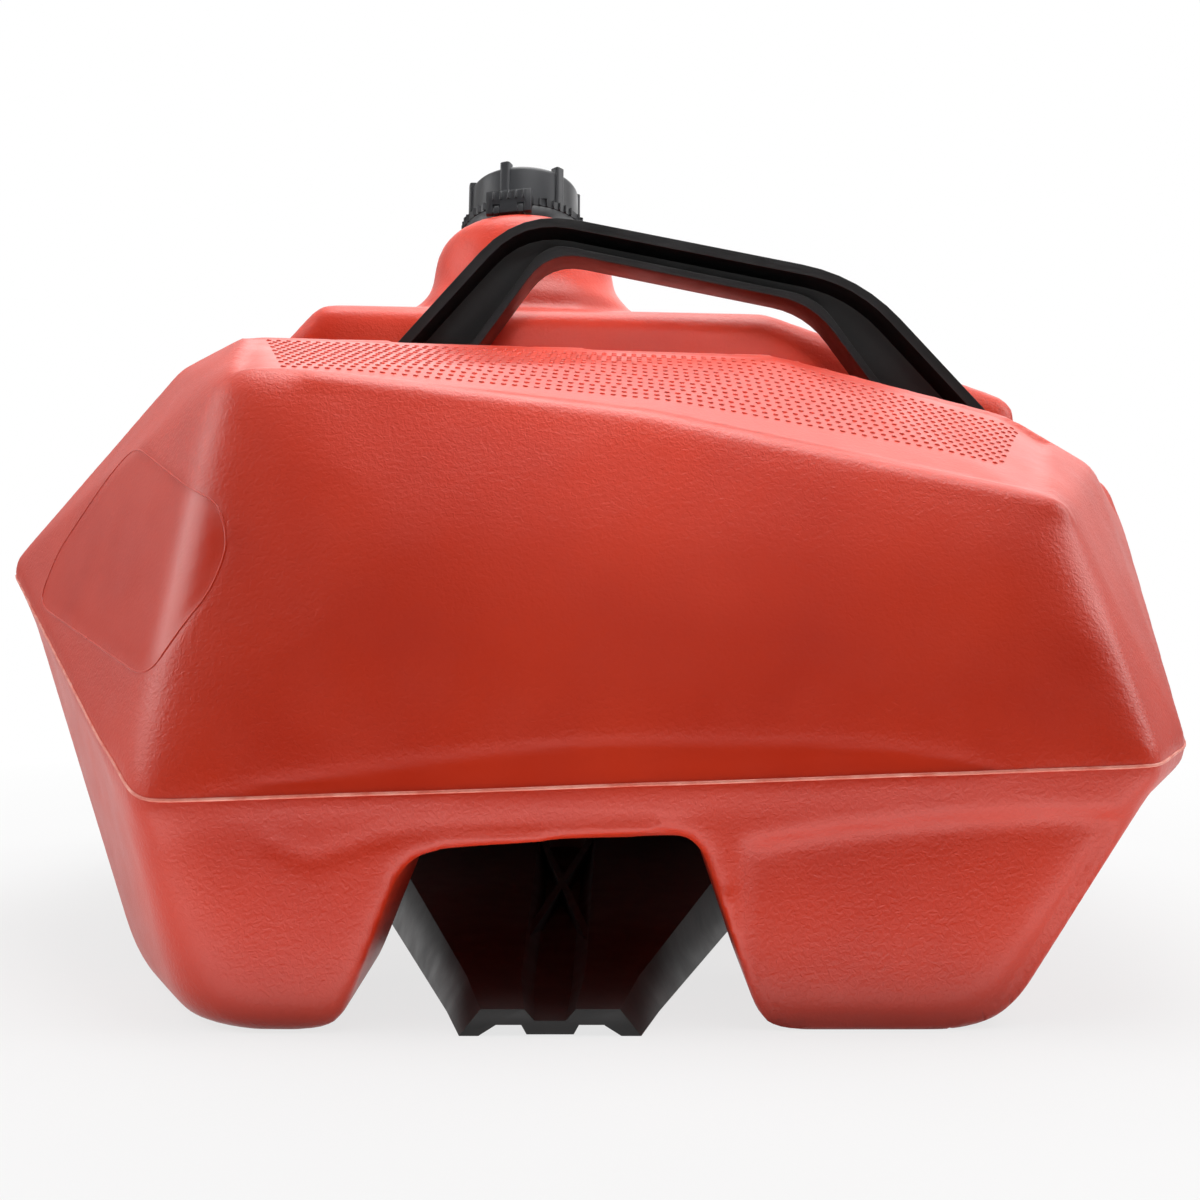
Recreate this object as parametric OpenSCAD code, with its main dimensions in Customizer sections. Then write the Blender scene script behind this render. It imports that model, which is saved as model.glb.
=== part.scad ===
// Wheeled fuel caddy: a blow-moulded tank on two moulded front feet and two rear wheels, with a fixed
// top handle, a screw filler cap on a leaning neck, and a tapered undercarriage that carries the axle.
// X runs to the right, Y from the front face to the rear face, Z up from the floor. Millimetres.

/* [Tank] */
// Width of the tank across its widest side corners
tank_w = 558; // [548:1:580]
// Depth of the tank from its front face to its rear face
tank_d = 480; // [470:1:500]
// Wall thickness of the moulding
tank_wall = 5; // [3:0.5:6]
// Radius of the outer edges of the moulding
edge_r = 13; // [10:1:15]
// Parting line height at the left end of the front face
seam_z = 87; // [84:1:92]
// Rise of the parting line from the left end of the front face to its right end
seam_rise = 13; // [8:1:16]
// Left end of the front face, from the centre plane
front_left = 158; // [150:1:164]
// Right end of the front face, from the centre plane
front_right = 232; // [224:1:236]
// Right front corner, from the centre plane
corner_right = 259; // [252:1:264]
// Right front corner, behind the front face
corner_back = 62; // [54:1:70]
// Widest side corners, behind the front face
side_back = 220; // [210:1:230]
// How much farther forward the widest right corner lies
side_skew = 22; // [16:1:26]
// Height of the widest left corner
side_left_z = 177; // [170:1:184]
// Height of the widest right corner
side_right_z = 192; // [184:1:198]

/* [Top panel] */
// Height of the front ridge at its left end
ridge_z = 258; // [252:1:262]
// Fall of the front ridge from its left end to its right end
ridge_drop = 58; // [54:1:62]
// Left end of the front ridge, from the centre plane
ridge_left = 138; // [130:1:144]
// Right end of the front ridge, from the centre plane
ridge_right = 206; // [200:1:212]
// Left end of the front ridge, behind the front face
ridge_back = 58; // [50:1:66]
// How much farther forward the right end of the ridge lies
ridge_skew = 18; // [12:1:24]
// Rise of the middle of the ridge above a straight line
ridge_crown = 9; // [6:1:11]
// Left end of the soft bend across the front face, from the centre plane
bend_left = 59; // [54:1:64]
// Left end of the bend, behind the front face
bend_back = 20; // [16:1:24]
// Height of the bend at its left end
bend_z = 184; // [178:1:188]
// Right end of the bend, from the centre plane
bend_right = 195; // [190:1:200]
// How much farther back the right end of the bend lies
bend_skew = 6; // [3:1:9]
// Fall of the bend from left to right
bend_drop = 6; // [2:1:10]
// Height of the rear crest of the top panel at its left end
crest_z = 288; // [282:1:292]
// Crest, behind the front face
crest_back = 168; // [162:1:174]
// Left end of the crest, from the centre plane
crest_left = 150; // [142:1:156]
// Right shoulder of the crest, from the centre plane
crest_shoulder = 100; // [90:1:110]
// Left hip of the crest, from the centre plane
hip_left = 182; // [176:1:188]
// Fall of the crest to its left hip
hip_left_fall = 15; // [11:1:18]
// Right hip of the crest, from the centre plane
hip_right = 209; // [203:1:214]
// Fall of the crest to its right hip
hip_right_fall = 38; // [35:1:42]
// Right end of the crest, from the centre plane
crest_right = 252; // [244:1:256]
// Fall of the crest from its left end to its right shoulder
crest_fall = 9; // [5:1:12]
// Fall of the crest from its left end to its right end
crest_drop = 62; // [56:1:66]

/* [Valley and rear hump] */
// Height of the valley floor that the handle stands on
valley_z = 224; // [220:1:228]
// Front wall of the rear hump, behind the widest side corners
hump_gap = 34; // [30:1:40]
// Height of the front edge of the rear hump at its left end
hump_z = 320; // [316:1:324]
// Rise of the hump from its front edge to its highest line
hump_rise = 16; // [12:1:20]
// Left end of the hump's front edge, from the centre plane
hump_left = 134; // [126:1:140]
// Right end of the hump's front edge, from the centre plane
hump_right = 108; // [100:1:114]
// Right shoulder of the hump, from the centre plane
hump_shoulder = 240; // [232:1:246]
// Half width of the tank at its rear face
rear_half = 236; // [230:1:244]

/* [Feet] */
// Height of the tank's flat underside above the axle tube
belly_gap = 4.5; // [4:0.5:5]
// Height of the front lip over the recess at its left end
lip_z = 67; // [64:1:72]
// Rise of the lip from left to right
lip_rise = 9; // [5:1:12]
// Outer front corner of the left foot at the floor, from the centre plane
foot_left = 134; // [128:1:138]
// Outer front corner of the right foot at the floor, from the centre plane
foot_right = 174; // [169:1:178]
// How much farther out the left foot's rear corner lies
foot_splay_left = 51; // [46:1:56]
// How much farther out the right foot's rear corner lies
foot_splay_right = 6; // [3:1:10]
// Depth of the feet at the floor
foot_depth = 104; // [96:1:112]
// Half width of the recess between the feet at the floor
recess_half = 80; // [76:1:84]
// Half width of the recess under the lip
recess_top_half = 55; // [50:1:60]
// Round of the feet's bottom edges
foot_r = 12; // [8:1:14]
// Round of the recess's upper corners
recess_r = 14; // [12:1:18]

/* [Neck] */
// Centre of the neck's seat to the left of the centre plane
neck_left = 26; // [22:1:30]
// Centre of the neck's seat, behind the front face
neck_back = 346; // [340:1:352]
// Height of the centre of the neck's seat
neck_z = 369; // [366:1:372]
// Lean of the neck to the rear
neck_lean = 17; // [15:1:19]
// Radius of the collar's seat on the neck
seat_r = 37; // [36:0.5:38]
// Width of the neck's rim round that seat
seat_rim = 3; // [2:0.5:4]
// Radius of the neck below its round shoulder
neck_r = 51.5; // [50:0.5:53]
// Radius of the neck where it flares into the hump
neck_foot_r = 62; // [60:0.5:64]
// Height of the neck below its seat
neck_h = 38; // [36:1:40]
// Length of the neck's root inside the rear hump
neck_root = 46; // [40:1:50]
// Outer radius of the spout that the cap screws on
spout_r = 27; // [26:0.5:28]
// Bore radius of the spout
spout_bore_r = 22.5; // [21:0.5:23]
// Height of the spout above the seat
spout_h = 30; // [29:0.5:31]

/* [Cap] */
// Radius of the cap over its skirt
cap_r = 31.5; // [31.5:0.25:33]
// Running gap between the cap and the spout
cap_gap = 0.6; // [0.4:0.1:1]
// Thickness of the cap's top
cap_top = 4; // [3:0.5:5]
// Number of grip lugs round the cap
lug_count = 6; // [5:1:8]
// Turn of the first lug from the right-hand side
lug_turn = 11.5; // [0:0.5:30]
// Half width of a grip lug
lug_r = 3.4; // [3:0.1:4]
// How far a lug stands above the cap's top
lug_rise = 2.2; // [1:0.2:3]
// Height of the collar under the cap
ring_h = 8; // [7:0.5:9]
// Height of the toothed band round the cap's rim
tooth_band = 4.5; // [4:0.5:5]
// Number of ratchet teeth
tooth_count = 54; // [44:2:60]
// Height of a ratchet tooth
tooth_h = 1.4; // [1:0.1:1.8]
// Thickness of the cap's gasket
gasket_t = 2; // [1.5:0.25:2.5]
// Turn of the lock tab to the left of the front
tab_turn = 10; // [6:1:14]
// Lock tab width
tab_w = 26; // [24:1:28]
// Lock tab height
tab_h = 14; // [13:0.5:15]
// Lock tab thickness
tab_t = 3.4; // [3:0.2:4]
// Gap between the lock tab and the ratchet teeth
tab_gap = 1; // [0.8:0.1:1.4]
// Pivot rod radius of the lock tab
tab_pin_r = 1.6; // [1.4:0.1:1.8]

/* [Handle] */
// Left upper corner of the handle, from the centre plane
bar_left = 22; // [16:1:28]
// Right upper corner of the handle, from the centre plane
bar_right = 150; // [144:1:154]
// Height of the left upper corner
bar_z = 360; // [354:1:364]
// Fall of the bar from left to right
bar_drop = 34; // [28:1:38]
// Height of the bar's section
bar_h = 20; // [18:1:24]
// Outer edge of the left foot, from the centre plane
grip_left = 146; // [140:1:150]
// Outer edge of the right foot, from the centre plane
grip_right = 245; // [240:1:248]
// Width of each foot
grip_foot = 54; // [50:1:58]
// Depth of the handle from front to back
grip_d = 32; // [28:1:36]
// Thickness of the outer flange
flange_out = 5; // [4:0.5:6]
// Thickness of the inner flange
flange_in = 3.6; // [3:0.2:5]
// Thickness of the web at the back
web_t = 4; // [3:0.5:5]
// Thickness of the foot plates
grip_plate = 6; // [5:0.5:8]
// Round of the handle's upper corners
grip_r = 30; // [20:1:34]

/* [Fasteners] */
// Radius of a screw's shank
screw_r = 2.9; // [2.5:0.1:3]
// Radius of a screw's head
screw_head_r = 5.6; // [5:0.2:6]
// Height of a screw's head
screw_head_h = 3.4; // [3:0.2:4]
// Outer radius of a threaded insert
insert_r = 5; // [4.5:0.1:5.4]
// Length of a threaded insert
insert_h = 14; // [12:1:16]
// Clearance of a screw in its hole, on the radius
screw_gap = 0.4; // [0.2:0.1:0.6]
// Clearance of an insert in its boss, on the radius
insert_gap = 0.05; // [0.03:0.01:0.08]

/* [Undercarriage] */
// Half width of the undercarriage's front tip at the floor
tip_half = 34; // [31:1:37]
// Height of the front tip
tip_h = 10; // [9:0.5:12]
// Thickness of the undercarriage's wall
under_t = 6; // [5:0.5:7]
// Draft of the undercarriage's side flanges, from floor to top
side_draft = 8; // [6:0.5:10]
// Shoulder where the tip begins to spread, behind the front face
shoulder_back = 36; // [30:1:42]
// Rise of the shoulder above the tip
shoulder_rise = 4; // [2:0.5:6]
// End of the taper, behind the front face
taper_end = 322; // [316:1:326]
// Half width at the end of the taper, at the floor
taper_half = 115; // [110:1:118]
// Height at the end of the taper
taper_h = 32; // [28:1:36]
// Half width of the rear box at the floor
box_half = 124; // [120:1:128]
// Front of the rear box, behind the front face
box_front = 342; // [338:1:346]
// Rear of the rear box, behind the front face
box_rear = 444; // [440:1:450]
// Depth of the groove at the tip
groove_tip = 4.4; // [3:0.2:5]
// Depth of the groove behind the tip
groove_deep = 11; // [9:1:13]
// Half width of the groove along the middle
groove_half = 17; // [15:1:19]
// Front end of the crossed ribs in the groove, behind the front face
rib_front = 80; // [70:1:90]
// Rear end of the crossed ribs, behind the front face
rib_rear = 316; // [306:1:318]
// Thickness of a crossed rib
rib_t = 3.6; // [3:0.2:4.5]

/* [Wheels] */
// Wheel radius over the tyre
wheel_r = 75; // [70:1:78]
// Width of a wheel
wheel_w = 44; // [40:1:48]
// Centre of each wheel, from the centre plane
wheel_x = 205; // [202:1:208]
// Axle, behind the front face
axle_back = 380; // [377:1:383]
// Axle radius
axle_r = 6; // [5:0.5:7]
// Running clearance on the axle, on the radius
axle_gap = 0.06; // [0.03:0.01:0.1]
// Thickness of the tyre's tread
tyre_t = 13; // [10:1:15]
// Gap between the wheel and its arch
arch_gap = 14; // [11:1:16]
// Outer radius of the axle tube on the undercarriage
tube_r = 15.5; // [15:0.5:17]
// Outer radius of the wheel's hub
hub_r = 19; // [17:0.5:21]
// Wall of the wheel's bush
bush_t = 3; // [2:0.5:4]
// End play of a wheel on the axle, on each side
hub_play = 0.4; // [0.3:0.05:0.6]
// Thickness of a washer
washer_t = 2; // [1.5:0.25:2.5]
// Number of spokes in a wheel
spoke_count = 6; // [5:1:8]

/* [Hidden] */

$fn = 64;
half_w = tank_w / 2;
belly_z = wheel_r + tube_r + belly_gap;
hump_back = side_back + hump_gap;
front_y = -tank_d / 2;
rear_y = tank_d / 2;
eps = 0.01;
lump_fn = 24;

function unit(v) = v / norm(v);
function lerp(a, b, t) = a + (b - a) * t;
function mean(pts) = [for (k = [0:len(pts[0]) - 1]) total(pts, k) / len(pts)];
function total(pts, k, i = 0) = i == len(pts) ? 0 : pts[i][k] + total(pts, k, i + 1);

// Rounds one corner of an outline, starting and ending the given distance from the corner
function soft_corner(a, v, b, cut, n) =
    let (p = v + cut * unit(a - v), q = v + cut * unit(b - v))
    [for (i = [0:n]) let (t = i / n) (1 - t) * (1 - t) * p + 2 * t * (1 - t) * v + t * t * q];
function soften(pts, cuts, n = 6) =
    let (m = len(pts))
    [for (i = [0:m - 1]) each cuts[i] == 0 ? [pts[i]]
        : soft_corner(pts[(i + m - 1) % m], pts[i], pts[(i + 1) % m], cuts[i], n)];

// Skins a solid over closed rings of equal point counts, with a fan or a flat face over each end
module loft(rings, flat_ends = false) {
    n = len(rings[0]);
    m = len(rings);
    low = n * m;
    high = low + 1;
    points = concat([for (r = rings) each r], [mean(rings[0]), mean(rings[m - 1])]);
    sides = [for (k = [0:m - 2], i = [0:n - 1])
        let (a = k * n + i, b = k * n + (i + 1) % n)
        each [[a, a + n, b + n], [a, b + n, b]]];
    fans = [for (i = [0:n - 1])
        let (j = (i + 1) % n)
        each [[low, i, j], [high, (m - 1) * n + j, (m - 1) * n + i]]];
    faces = [[for (i = [0:n - 1]) i], [for (i = [n - 1:-1:0]) (m - 1) * n + i]];
    polyhedron(points, concat(sides, flat_ends ? faces : fans));
}

// Centre of an edge ball whose surface touches the given corner from inside
function ball(x, y, z, out) = [x, front_y + y, z] - edge_r * out;

side_left = ball(-half_w, side_back, side_left_z, [-1, 0, 0]);
side_right = ball(half_w, side_back - side_skew, side_right_z, [1, 0, 0]);
ridge_end = [ridge_right, ridge_back - ridge_skew, ridge_z - ridge_drop];
ridge_mid = lerp([-ridge_left, ridge_back, ridge_z], ridge_end, 0.5);
seam_right_z = seam_z + seam_rise;

front_balls = [
    ball(-front_left, 0, seam_z, [-0.7, -1, 0]),
    ball(front_right, 6, seam_right_z, [0.8, -1, 0]),
    ball(corner_right, corner_back, seam_right_z + 3, [1, 0, 0]),
    side_left,
    side_right,
    ball(-ridge_left, ridge_back, ridge_z, [-0.7, -0.6, 0.8]),
    ball(ridge_mid.x, ridge_mid.y, ridge_mid.z + ridge_crown, [0, -0.5, 0.9]),
    ball(ridge_end.x, ridge_end.y, ridge_end.z, [0.8, -0.5, 0.7]),
    ball(-bend_left, bend_back, bend_z, [-0.1, -0.9, 0.4]),
    ball(bend_right, bend_back + bend_skew, bend_z - bend_drop, [0.3, -0.9, 0.4]),
    ball(-crest_left, crest_back, crest_z, [-0.5, 0.6, 1]),
    ball(-hip_left, crest_back, crest_z - hip_left_fall, [-0.8, 0.3, 0.9]),
    ball(crest_shoulder, crest_back, crest_z - crest_fall, [0, 0.6, 1]),
    ball(hip_right, crest_back, crest_z - hip_right_fall, [0.4, 0.6, 0.9]),
    ball(crest_right, crest_back, crest_z - crest_drop, [0.9, 0.6, 0.7]),
    ball(-front_left + edge_r, 5, lip_z, [-1, -1, -1]),
    ball(front_right - edge_r / 2, 8, lip_z + lip_rise, [1, -1, -1]),
];

// Insets of the middle body: its valley rim, its belly and its rear corners
rim_front = 40;
rim_left_in = 60;
rim_left_rear_in = 42;
rim_left_rear = 20;
rim_right_in = 5;
rim_right_rear = 6;
rear_rim_left_in = 20;
rear_rim_right_in = 12;
rear_rim_y = tank_d - 12;
rear_foot_in = 22;
rear_foot_y = tank_d - 4;
belly_front = 70;
belly_right_in = 20;
right_back = side_back - side_skew;

core_balls = [
    side_left,
    side_right,
    ball(-half_w + rim_left_in, side_back - rim_front, valley_z, [-1, 0, 1]),
    ball(half_w - rim_right_in, right_back + rim_right_rear, valley_z, [1, 0, 1]),
    ball(-half_w + rim_left_rear_in, side_back + rim_left_rear, valley_z, [-1, 0, 1]),
    ball(-rear_half, tank_d, side_left_z, [-1, 1, 0]),
    ball(rear_half, tank_d, side_right_z, [1, 1, 0]),
    ball(-rear_half + rear_rim_left_in, rear_rim_y, valley_z, [-1, 1, 1]),
    ball(rear_half - rear_rim_right_in, rear_rim_y, valley_z, [1, 1, 1]),
    ball(-rear_half + rear_foot_in, rear_foot_y, belly_z, [-1, 1, -1]),
    ball(rear_half - rear_foot_in, rear_foot_y, belly_z, [1, 1, -1]),
    ball(-front_left, belly_front, belly_z, [-1, -1, -1]),
    ball(front_right - belly_right_in, belly_front, belly_z, [1, -1, -1]),
];

// Insets of the rear hump: the falls of its front edge, its highest line and its foot inside the body
hump_right_fall = 5;
hump_shoulder_fall = 50;
hump_shoulder_back = 10;
hump_side_in = 42;
hump_side_fall = 66;
hump_foot_z = belly_z + 60;
hump_top_y = hump_back + 112;
hump_top_in = 16;
hump_top_right_in = 10;
hump_top_fall = 6;
hump_rear_y = tank_d - 6;
hump_rear_z = valley_z + 22;
hump_rear_left = hump_left + 30;
hump_rear_right = hump_right + 60;
hump_foot_in = 30;

hump_balls = [
    ball(-hump_left, hump_back, hump_z, [-0.6, -1, 0.9]),
    ball(hump_right, hump_back, hump_z - hump_right_fall, [0.2, -1, 0.9]),
    ball(hump_shoulder, hump_back + hump_shoulder_back, hump_z - hump_shoulder_fall, [0.7, -1, 0.7]),
    ball(-rear_half + hump_side_in, hump_back, hump_z - hump_side_fall, [-0.8, -1, 0.5]),
    ball(-rear_half + hump_side_in, hump_back, hump_foot_z, [-1, -1, -1]),
    ball(hump_shoulder, hump_back, hump_foot_z, [1, -1, -1]),
    ball(-hump_left + hump_top_in, hump_top_y, hump_z + hump_rise, [-0.5, 0, 1]),
    ball(hump_right - hump_top_right_in, hump_top_y, hump_z + hump_rise - hump_top_fall, [0.3, 0, 1]),
    ball(-hump_rear_left, hump_rear_y, hump_rear_z, [-0.8, 1, 0.7]),
    ball(hump_rear_right, hump_rear_y, hump_rear_z, [0.8, 1, 0.7]),
    ball(-rear_half + hump_foot_in, rear_foot_y, hump_foot_z, [-1, 1, -1]),
    ball(rear_half - hump_foot_in, rear_foot_y, hump_foot_z, [1, 1, -1]),
];

module lump(balls, r) {
    hull()
        for (c = balls)
            translate(c) sphere(r, $fn = lump_fn);
}

// Both feet before the recess is cut between them, drawn in by a wall thickness for the inside
foot_set = 2;
foot_root = 9;
foot_root_rise = 20;
foot_floor = [
    [-foot_left, front_y + foot_set, 0],
    [foot_right, front_y + foot_set, 0],
    [foot_right + foot_splay_right, front_y + foot_depth, 0],
    [-foot_left - foot_splay_left, front_y + foot_depth, 0],
];
foot_top = [
    [-front_left + 1, front_y + foot_set, seam_z - foot_set],
    [front_right + 5, front_y + foot_root, seam_right_z - 5],
    [corner_right - 3, front_y + corner_back + 30, seam_right_z + foot_root_rise],
    [-half_w + 3, front_y + side_back - 4, side_left_z - 4],
];
foot_cuts = [26, 26, 30, 30];

function foot_ring(t, shrink) =
    let (ring = [for (i = [0:3]) lerp(foot_floor[i], foot_top[i], t)], c = mean(ring))
    soften([for (p = ring) p + shrink * unit([c.x - p.x, c.y - p.y, 0])], foot_cuts);

module feet_block(wall) {
    rise = foot_r / seam_z;
    low = wall / seam_z;
    draw_in = 1.4 * wall;
    steps = 4;
    loft([
        for (k = [0:steps])
            let (a = 90 * k / steps)
            foot_ring(low + rise * (1 - cos(a)), draw_in + foot_r * (1 - sin(a))),
        foot_ring(1, draw_in),
    ]);
}

module recess(wall) {
    run = 2 * foot_r + wall;
    outline = soften(
        [
            [-recess_half - wall - run, -foot_r],
            [-recess_half - wall - run, 0],
            [-recess_half - wall, 0],
            [-recess_top_half - wall, lip_z + wall],
            [recess_top_half + wall, lip_z + lip_rise + wall],
            [recess_half + wall, 0],
            [recess_half + wall + run, 0],
            [recess_half + wall + run, -foot_r],
        ],
        [0, 0, foot_r, recess_r, recess_r, foot_r, 0, 0]
    );
    translate([0, front_y + side_back, 0])
        rotate([90, 0, 0])
            linear_extrude(side_back + foot_r)
                polygon(outline);
}

module feet(wall) {
    difference() {
        feet_block(wall);
        recess(wall);
    }
}

module at_neck() {
    translate([-neck_left, front_y + neck_back, neck_z])
        rotate([-neck_lean, 0, 0])
            children();
}

// The neck is skinned over rings that lean with the seat on top and stand upright at the foot.
// Each ring is given by its depth below the seat, as a part of the neck's height, and its radius.
neck_rings = [
    [1 + neck_root / neck_h, neck_foot_r + 4],
    [1, neck_foot_r],
    [0.9, lerp(neck_r, neck_foot_r, 0.58)],
    [0.79, lerp(neck_r, neck_foot_r, 0.26)],
    [0.64, lerp(neck_r, neck_foot_r, 0.1)],
    [0.42, neck_r],
    [0.26, lerp(seat_r, neck_r, 0.9)],
    [0.15, lerp(seat_r, neck_r, 0.76)],
    [0.06, lerp(seat_r, neck_r, 0.52)],
    [0, seat_r + seat_rim],
];
neck_fn = 48;

function neck_ring(part, r) =
    let (
        lean = neck_lean * max(0, 1 - part),
        shift = neck_h * tan(neck_lean) * min(part, 1) * (1 - 0.5 * min(part, 1))
    )
    [for (i = [0:neck_fn - 1])
        let (a = 360 * i / neck_fn)
        [
            r * cos(a) - neck_left,
            front_y + neck_back - shift + r * sin(a) * cos(lean),
            neck_z - part * neck_h - r * sin(a) * sin(lean),
        ]];

module neck_body(wall) {
    loft([for (s = neck_rings) neck_ring(s[0] + wall / neck_h, s[1] - wall)]);
}

arch_r = wheel_r + arch_gap;
hub_in = wheel_x - wheel_w / 2;
hub_out = wheel_x + wheel_w / 2;
tube_end = hub_in - washer_t - hub_play;
arch_in = tube_end - arch_gap;
axle_y = front_y + axle_back;

module along_x(side, from, to, r) {
    translate([side * from, axle_y, wheel_r])
        rotate([0, side * 90, 0])
            cylinder(h = to - from, r = r);
}

grip_y = front_y + side_back + 8;
screw_near = 0.46 * grip_foot;
screw_far = 0.78 * grip_foot;
foot_screw_x = [
    -grip_left + screw_near,
    -grip_left + screw_far,
    grip_right - screw_far,
    grip_right - screw_near,
];
foot_screw_y = grip_y - web_t / 2;
under_screw_x = box_half * 0.55;
under_screw_y = [front_y + box_front + 14, front_y + box_rear - 16];
boss_r = insert_r + tank_wall;

module handle_points(ids) {
    for (i = ids)
        translate([foot_screw_x[i], foot_screw_y, valley_z])
            children();
}

module under_points() {
    for (x = [-under_screw_x, under_screw_x], y = under_screw_y)
        translate([x, y, belly_z])
            children();
}

module insert_bosses() {
    boss_h = insert_h + tank_wall;
    handle_points([0:3])
        translate([0, 0, -boss_h]) cylinder(h = boss_h, r = boss_r);
    under_points()
        cylinder(h = boss_h, r = boss_r);
}

module insert_holes() {
    handle_points([0:3])
        translate([0, 0, -insert_h]) cylinder(h = insert_h + 1, r = insert_r + insert_gap);
    under_points()
        translate([0, 0, -1]) cylinder(h = insert_h + 1, r = insert_r + insert_gap);
}

module tank_inside() {
    inner_r = edge_r - tank_wall;
    difference() {
        union() {
            lump(front_balls, inner_r);
            lump(core_balls, inner_r);
            lump(hump_balls, inner_r);
            feet(tank_wall);
        }
        for (side = [-1, 1])
            along_x(side, arch_in - tank_wall, half_w, arch_r + tank_wall);
        insert_bosses();
    }
}

module tank_shell() {
    color("#C8452F")
    difference() {
        union() {
            lump(front_balls, edge_r);
            lump(core_balls, edge_r);
            lump(hump_balls, edge_r);
            feet(0);
            neck_body(0);
            at_neck() translate([0, 0, -tank_wall]) cylinder(h = spout_h + tank_wall, r = spout_r);
        }
        tank_inside();
        neck_body(tank_wall);
        at_neck() translate([0, 0, -neck_h]) cylinder(h = neck_h + spout_h + 1, r = spout_bore_r);
        for (side = [-1, 1])
            along_x(side, arch_in, half_w + 1, arch_r);
        insert_holes();
    }
}

// The collar sits on the neck's seat round the spout, with two ears that hold the lock tab
tab_y = -seat_r - tab_gap - tab_t / 2;
tab_pin_z = 2.4;
ear_w = 3;
ear_x = tab_w / 2 - 2 * ear_w;
ear_root = 4;
tooth_r = seat_r - tooth_h;

module tab_collar() {
    color("#242526")
    at_neck()
    difference() {
        union() {
            cylinder(h = ring_h, r = tooth_r);
            for (side = [-1, 1])
                rotate(-tab_turn)
                    translate([side * ear_x - ear_w / 2, tab_y - tab_t / 2, 0])
                        cube([ear_w, tab_t + tab_gap + ear_root, 2 * tab_pin_z]);
        }
        translate([0, 0, -1]) cylinder(h = ring_h + 2, r = spout_r + insert_gap);
        for (side = [-1, 1])
            rotate(-tab_turn)
            translate([side * ear_x, tab_y, tab_pin_z])
                rotate([0, 90, 0]) cylinder(h = 2 * ear_w, r = tab_pin_r + axle_gap, center = true);
    }
}

module lock_tab() {
    slot = ear_w + 1;
    rib_count = 5;
    color("#242526")
    at_neck()
    rotate(-tab_turn)
    translate([0, tab_y, tab_pin_z]) {
        difference() {
            translate([-tab_w / 2, -tab_t / 2, -tab_pin_z + 0.4]) cube([tab_w, tab_t, tab_h]);
            for (side = [-1, 1])
                translate([side * ear_x - slot / 2, -tab_t, -tab_pin_z])
                    cube([slot, 2 * tab_t, 2 * tab_pin_z + 1]);
        }
        for (side = [-1, 1])
            translate([side * ear_x, 0, 0])
                rotate([0, 90, 0]) cylinder(h = slot + 1, r = tab_pin_r, center = true);
        for (i = [1:rib_count])
            translate([-tab_w / 2 + i * tab_w / (rib_count + 1), -tab_t / 2, tab_h * 0.45])
                cylinder(h = tab_h * 0.35, r = 0.8);
    }
}

gasket_gap = 0.1;
cap_low = ring_h + 0.4;
cap_in_z = spout_h + gasket_gap + gasket_t + gasket_gap;
cap_high = cap_in_z + cap_top;

module cap_gasket() {
    color("#3A3A3A")
    at_neck()
    translate([0, 0, spout_h + gasket_gap])
    difference() {
        cylinder(h = gasket_t, r = spout_r);
        translate([0, 0, -1]) cylinder(h = gasket_t + 2, r = spout_bore_r);
    }
}

// Saw teeth round the cap's rim, steep on the side that the lock tab holds
module rim_teeth() {
    cylinder(h = tooth_band, r = tooth_r);
    for (i = [0:tooth_count - 1])
        rotate(i * 360 / tooth_count)
            linear_extrude(tooth_band)
                polygon([[tooth_r - 1, -1], [tooth_r + tooth_h, -0.2], [tooth_r - 1, 1.6]]);
}

module filler_cap() {
    brim = 3;
    dome = 1.2;
    lug_out = 1.6;
    lug = soften(
        [
            [cap_r - 3, -lug_r],
            [cap_r + lug_out, -lug_r * 0.8],
            [cap_r + lug_out, lug_r * 0.8],
            [cap_r - 3, lug_r],
        ],
        [0, lug_out, lug_out, 0]
    );
    color("#2B2C2D")
    at_neck()
    difference() {
        union() {
            translate([0, 0, cap_low]) cylinder(h = cap_high - brim - cap_low, r = cap_r);
            translate([0, 0, cap_low]) rim_teeth();
            rotate_extrude()
                polygon(soften(
                    [[0, cap_low + brim], [cap_r, cap_low + brim], [cap_r, cap_high], [0, cap_high + dome]],
                    [0, 0, brim, 0]
                ));
            for (i = [0:lug_count - 1])
                rotate(lug_turn + i * 360 / lug_count)
                    translate([0, 0, cap_low])
                        linear_extrude(cap_high + lug_rise - cap_low) polygon(lug);
        }
        translate([0, 0, cap_low - 1]) cylinder(h = cap_in_z - cap_low + 1, r = spout_r + cap_gap);
    }
}

grip_out = [
    [-grip_left, valley_z],
    [-bar_left, bar_z],
    [bar_right, bar_z - bar_drop],
    [grip_right, valley_z],
];
grip_in = [
    [grip_right - grip_foot, valley_z],
    [bar_right - bar_h * 1.2, bar_z - bar_drop - bar_h * 0.7],
    [-bar_left + bar_h * 0.75, bar_z - bar_h * 1.05],
    [-grip_left + grip_foot, valley_z],
];

// Moves each edge of an outline inwards by its own distance
function edge_line(a, b, d) = let (u = unit(b - a), n = [u.y, -u.x]) [a + d * n, u];
function meet(l, m) =
    let (w = m[0] - l[0], det = l[1].x * m[1].y - l[1].y * m[1].x)
    l[0] + l[1] * (w.x * m[1].y - w.y * m[1].x) / det;
function inset(pts, d) =
    let (m = len(pts))
    [for (i = [0:m - 1])
        let (a = pts[(i + m - 1) % m], b = pts[i], c = pts[(i + 1) % m])
        meet(edge_line(a, b, d[(i + m - 1) % m]), edge_line(b, c, d[i]))];

grip_outline = concat(grip_out, grip_in);
grip_rounds = [4, grip_r, grip_r, 4, 4, grip_r * 0.6, grip_r * 0.6, 4];
pocket_insets = [
    flange_out, flange_out, flange_out, grip_plate,
    flange_in, flange_in, flange_in, grip_plate,
];

module grip_prism(outline, rounds, depth) {
    rotate([90, 0, 0])
        linear_extrude(depth)
            polygon(soften(outline, rounds));
}

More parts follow.
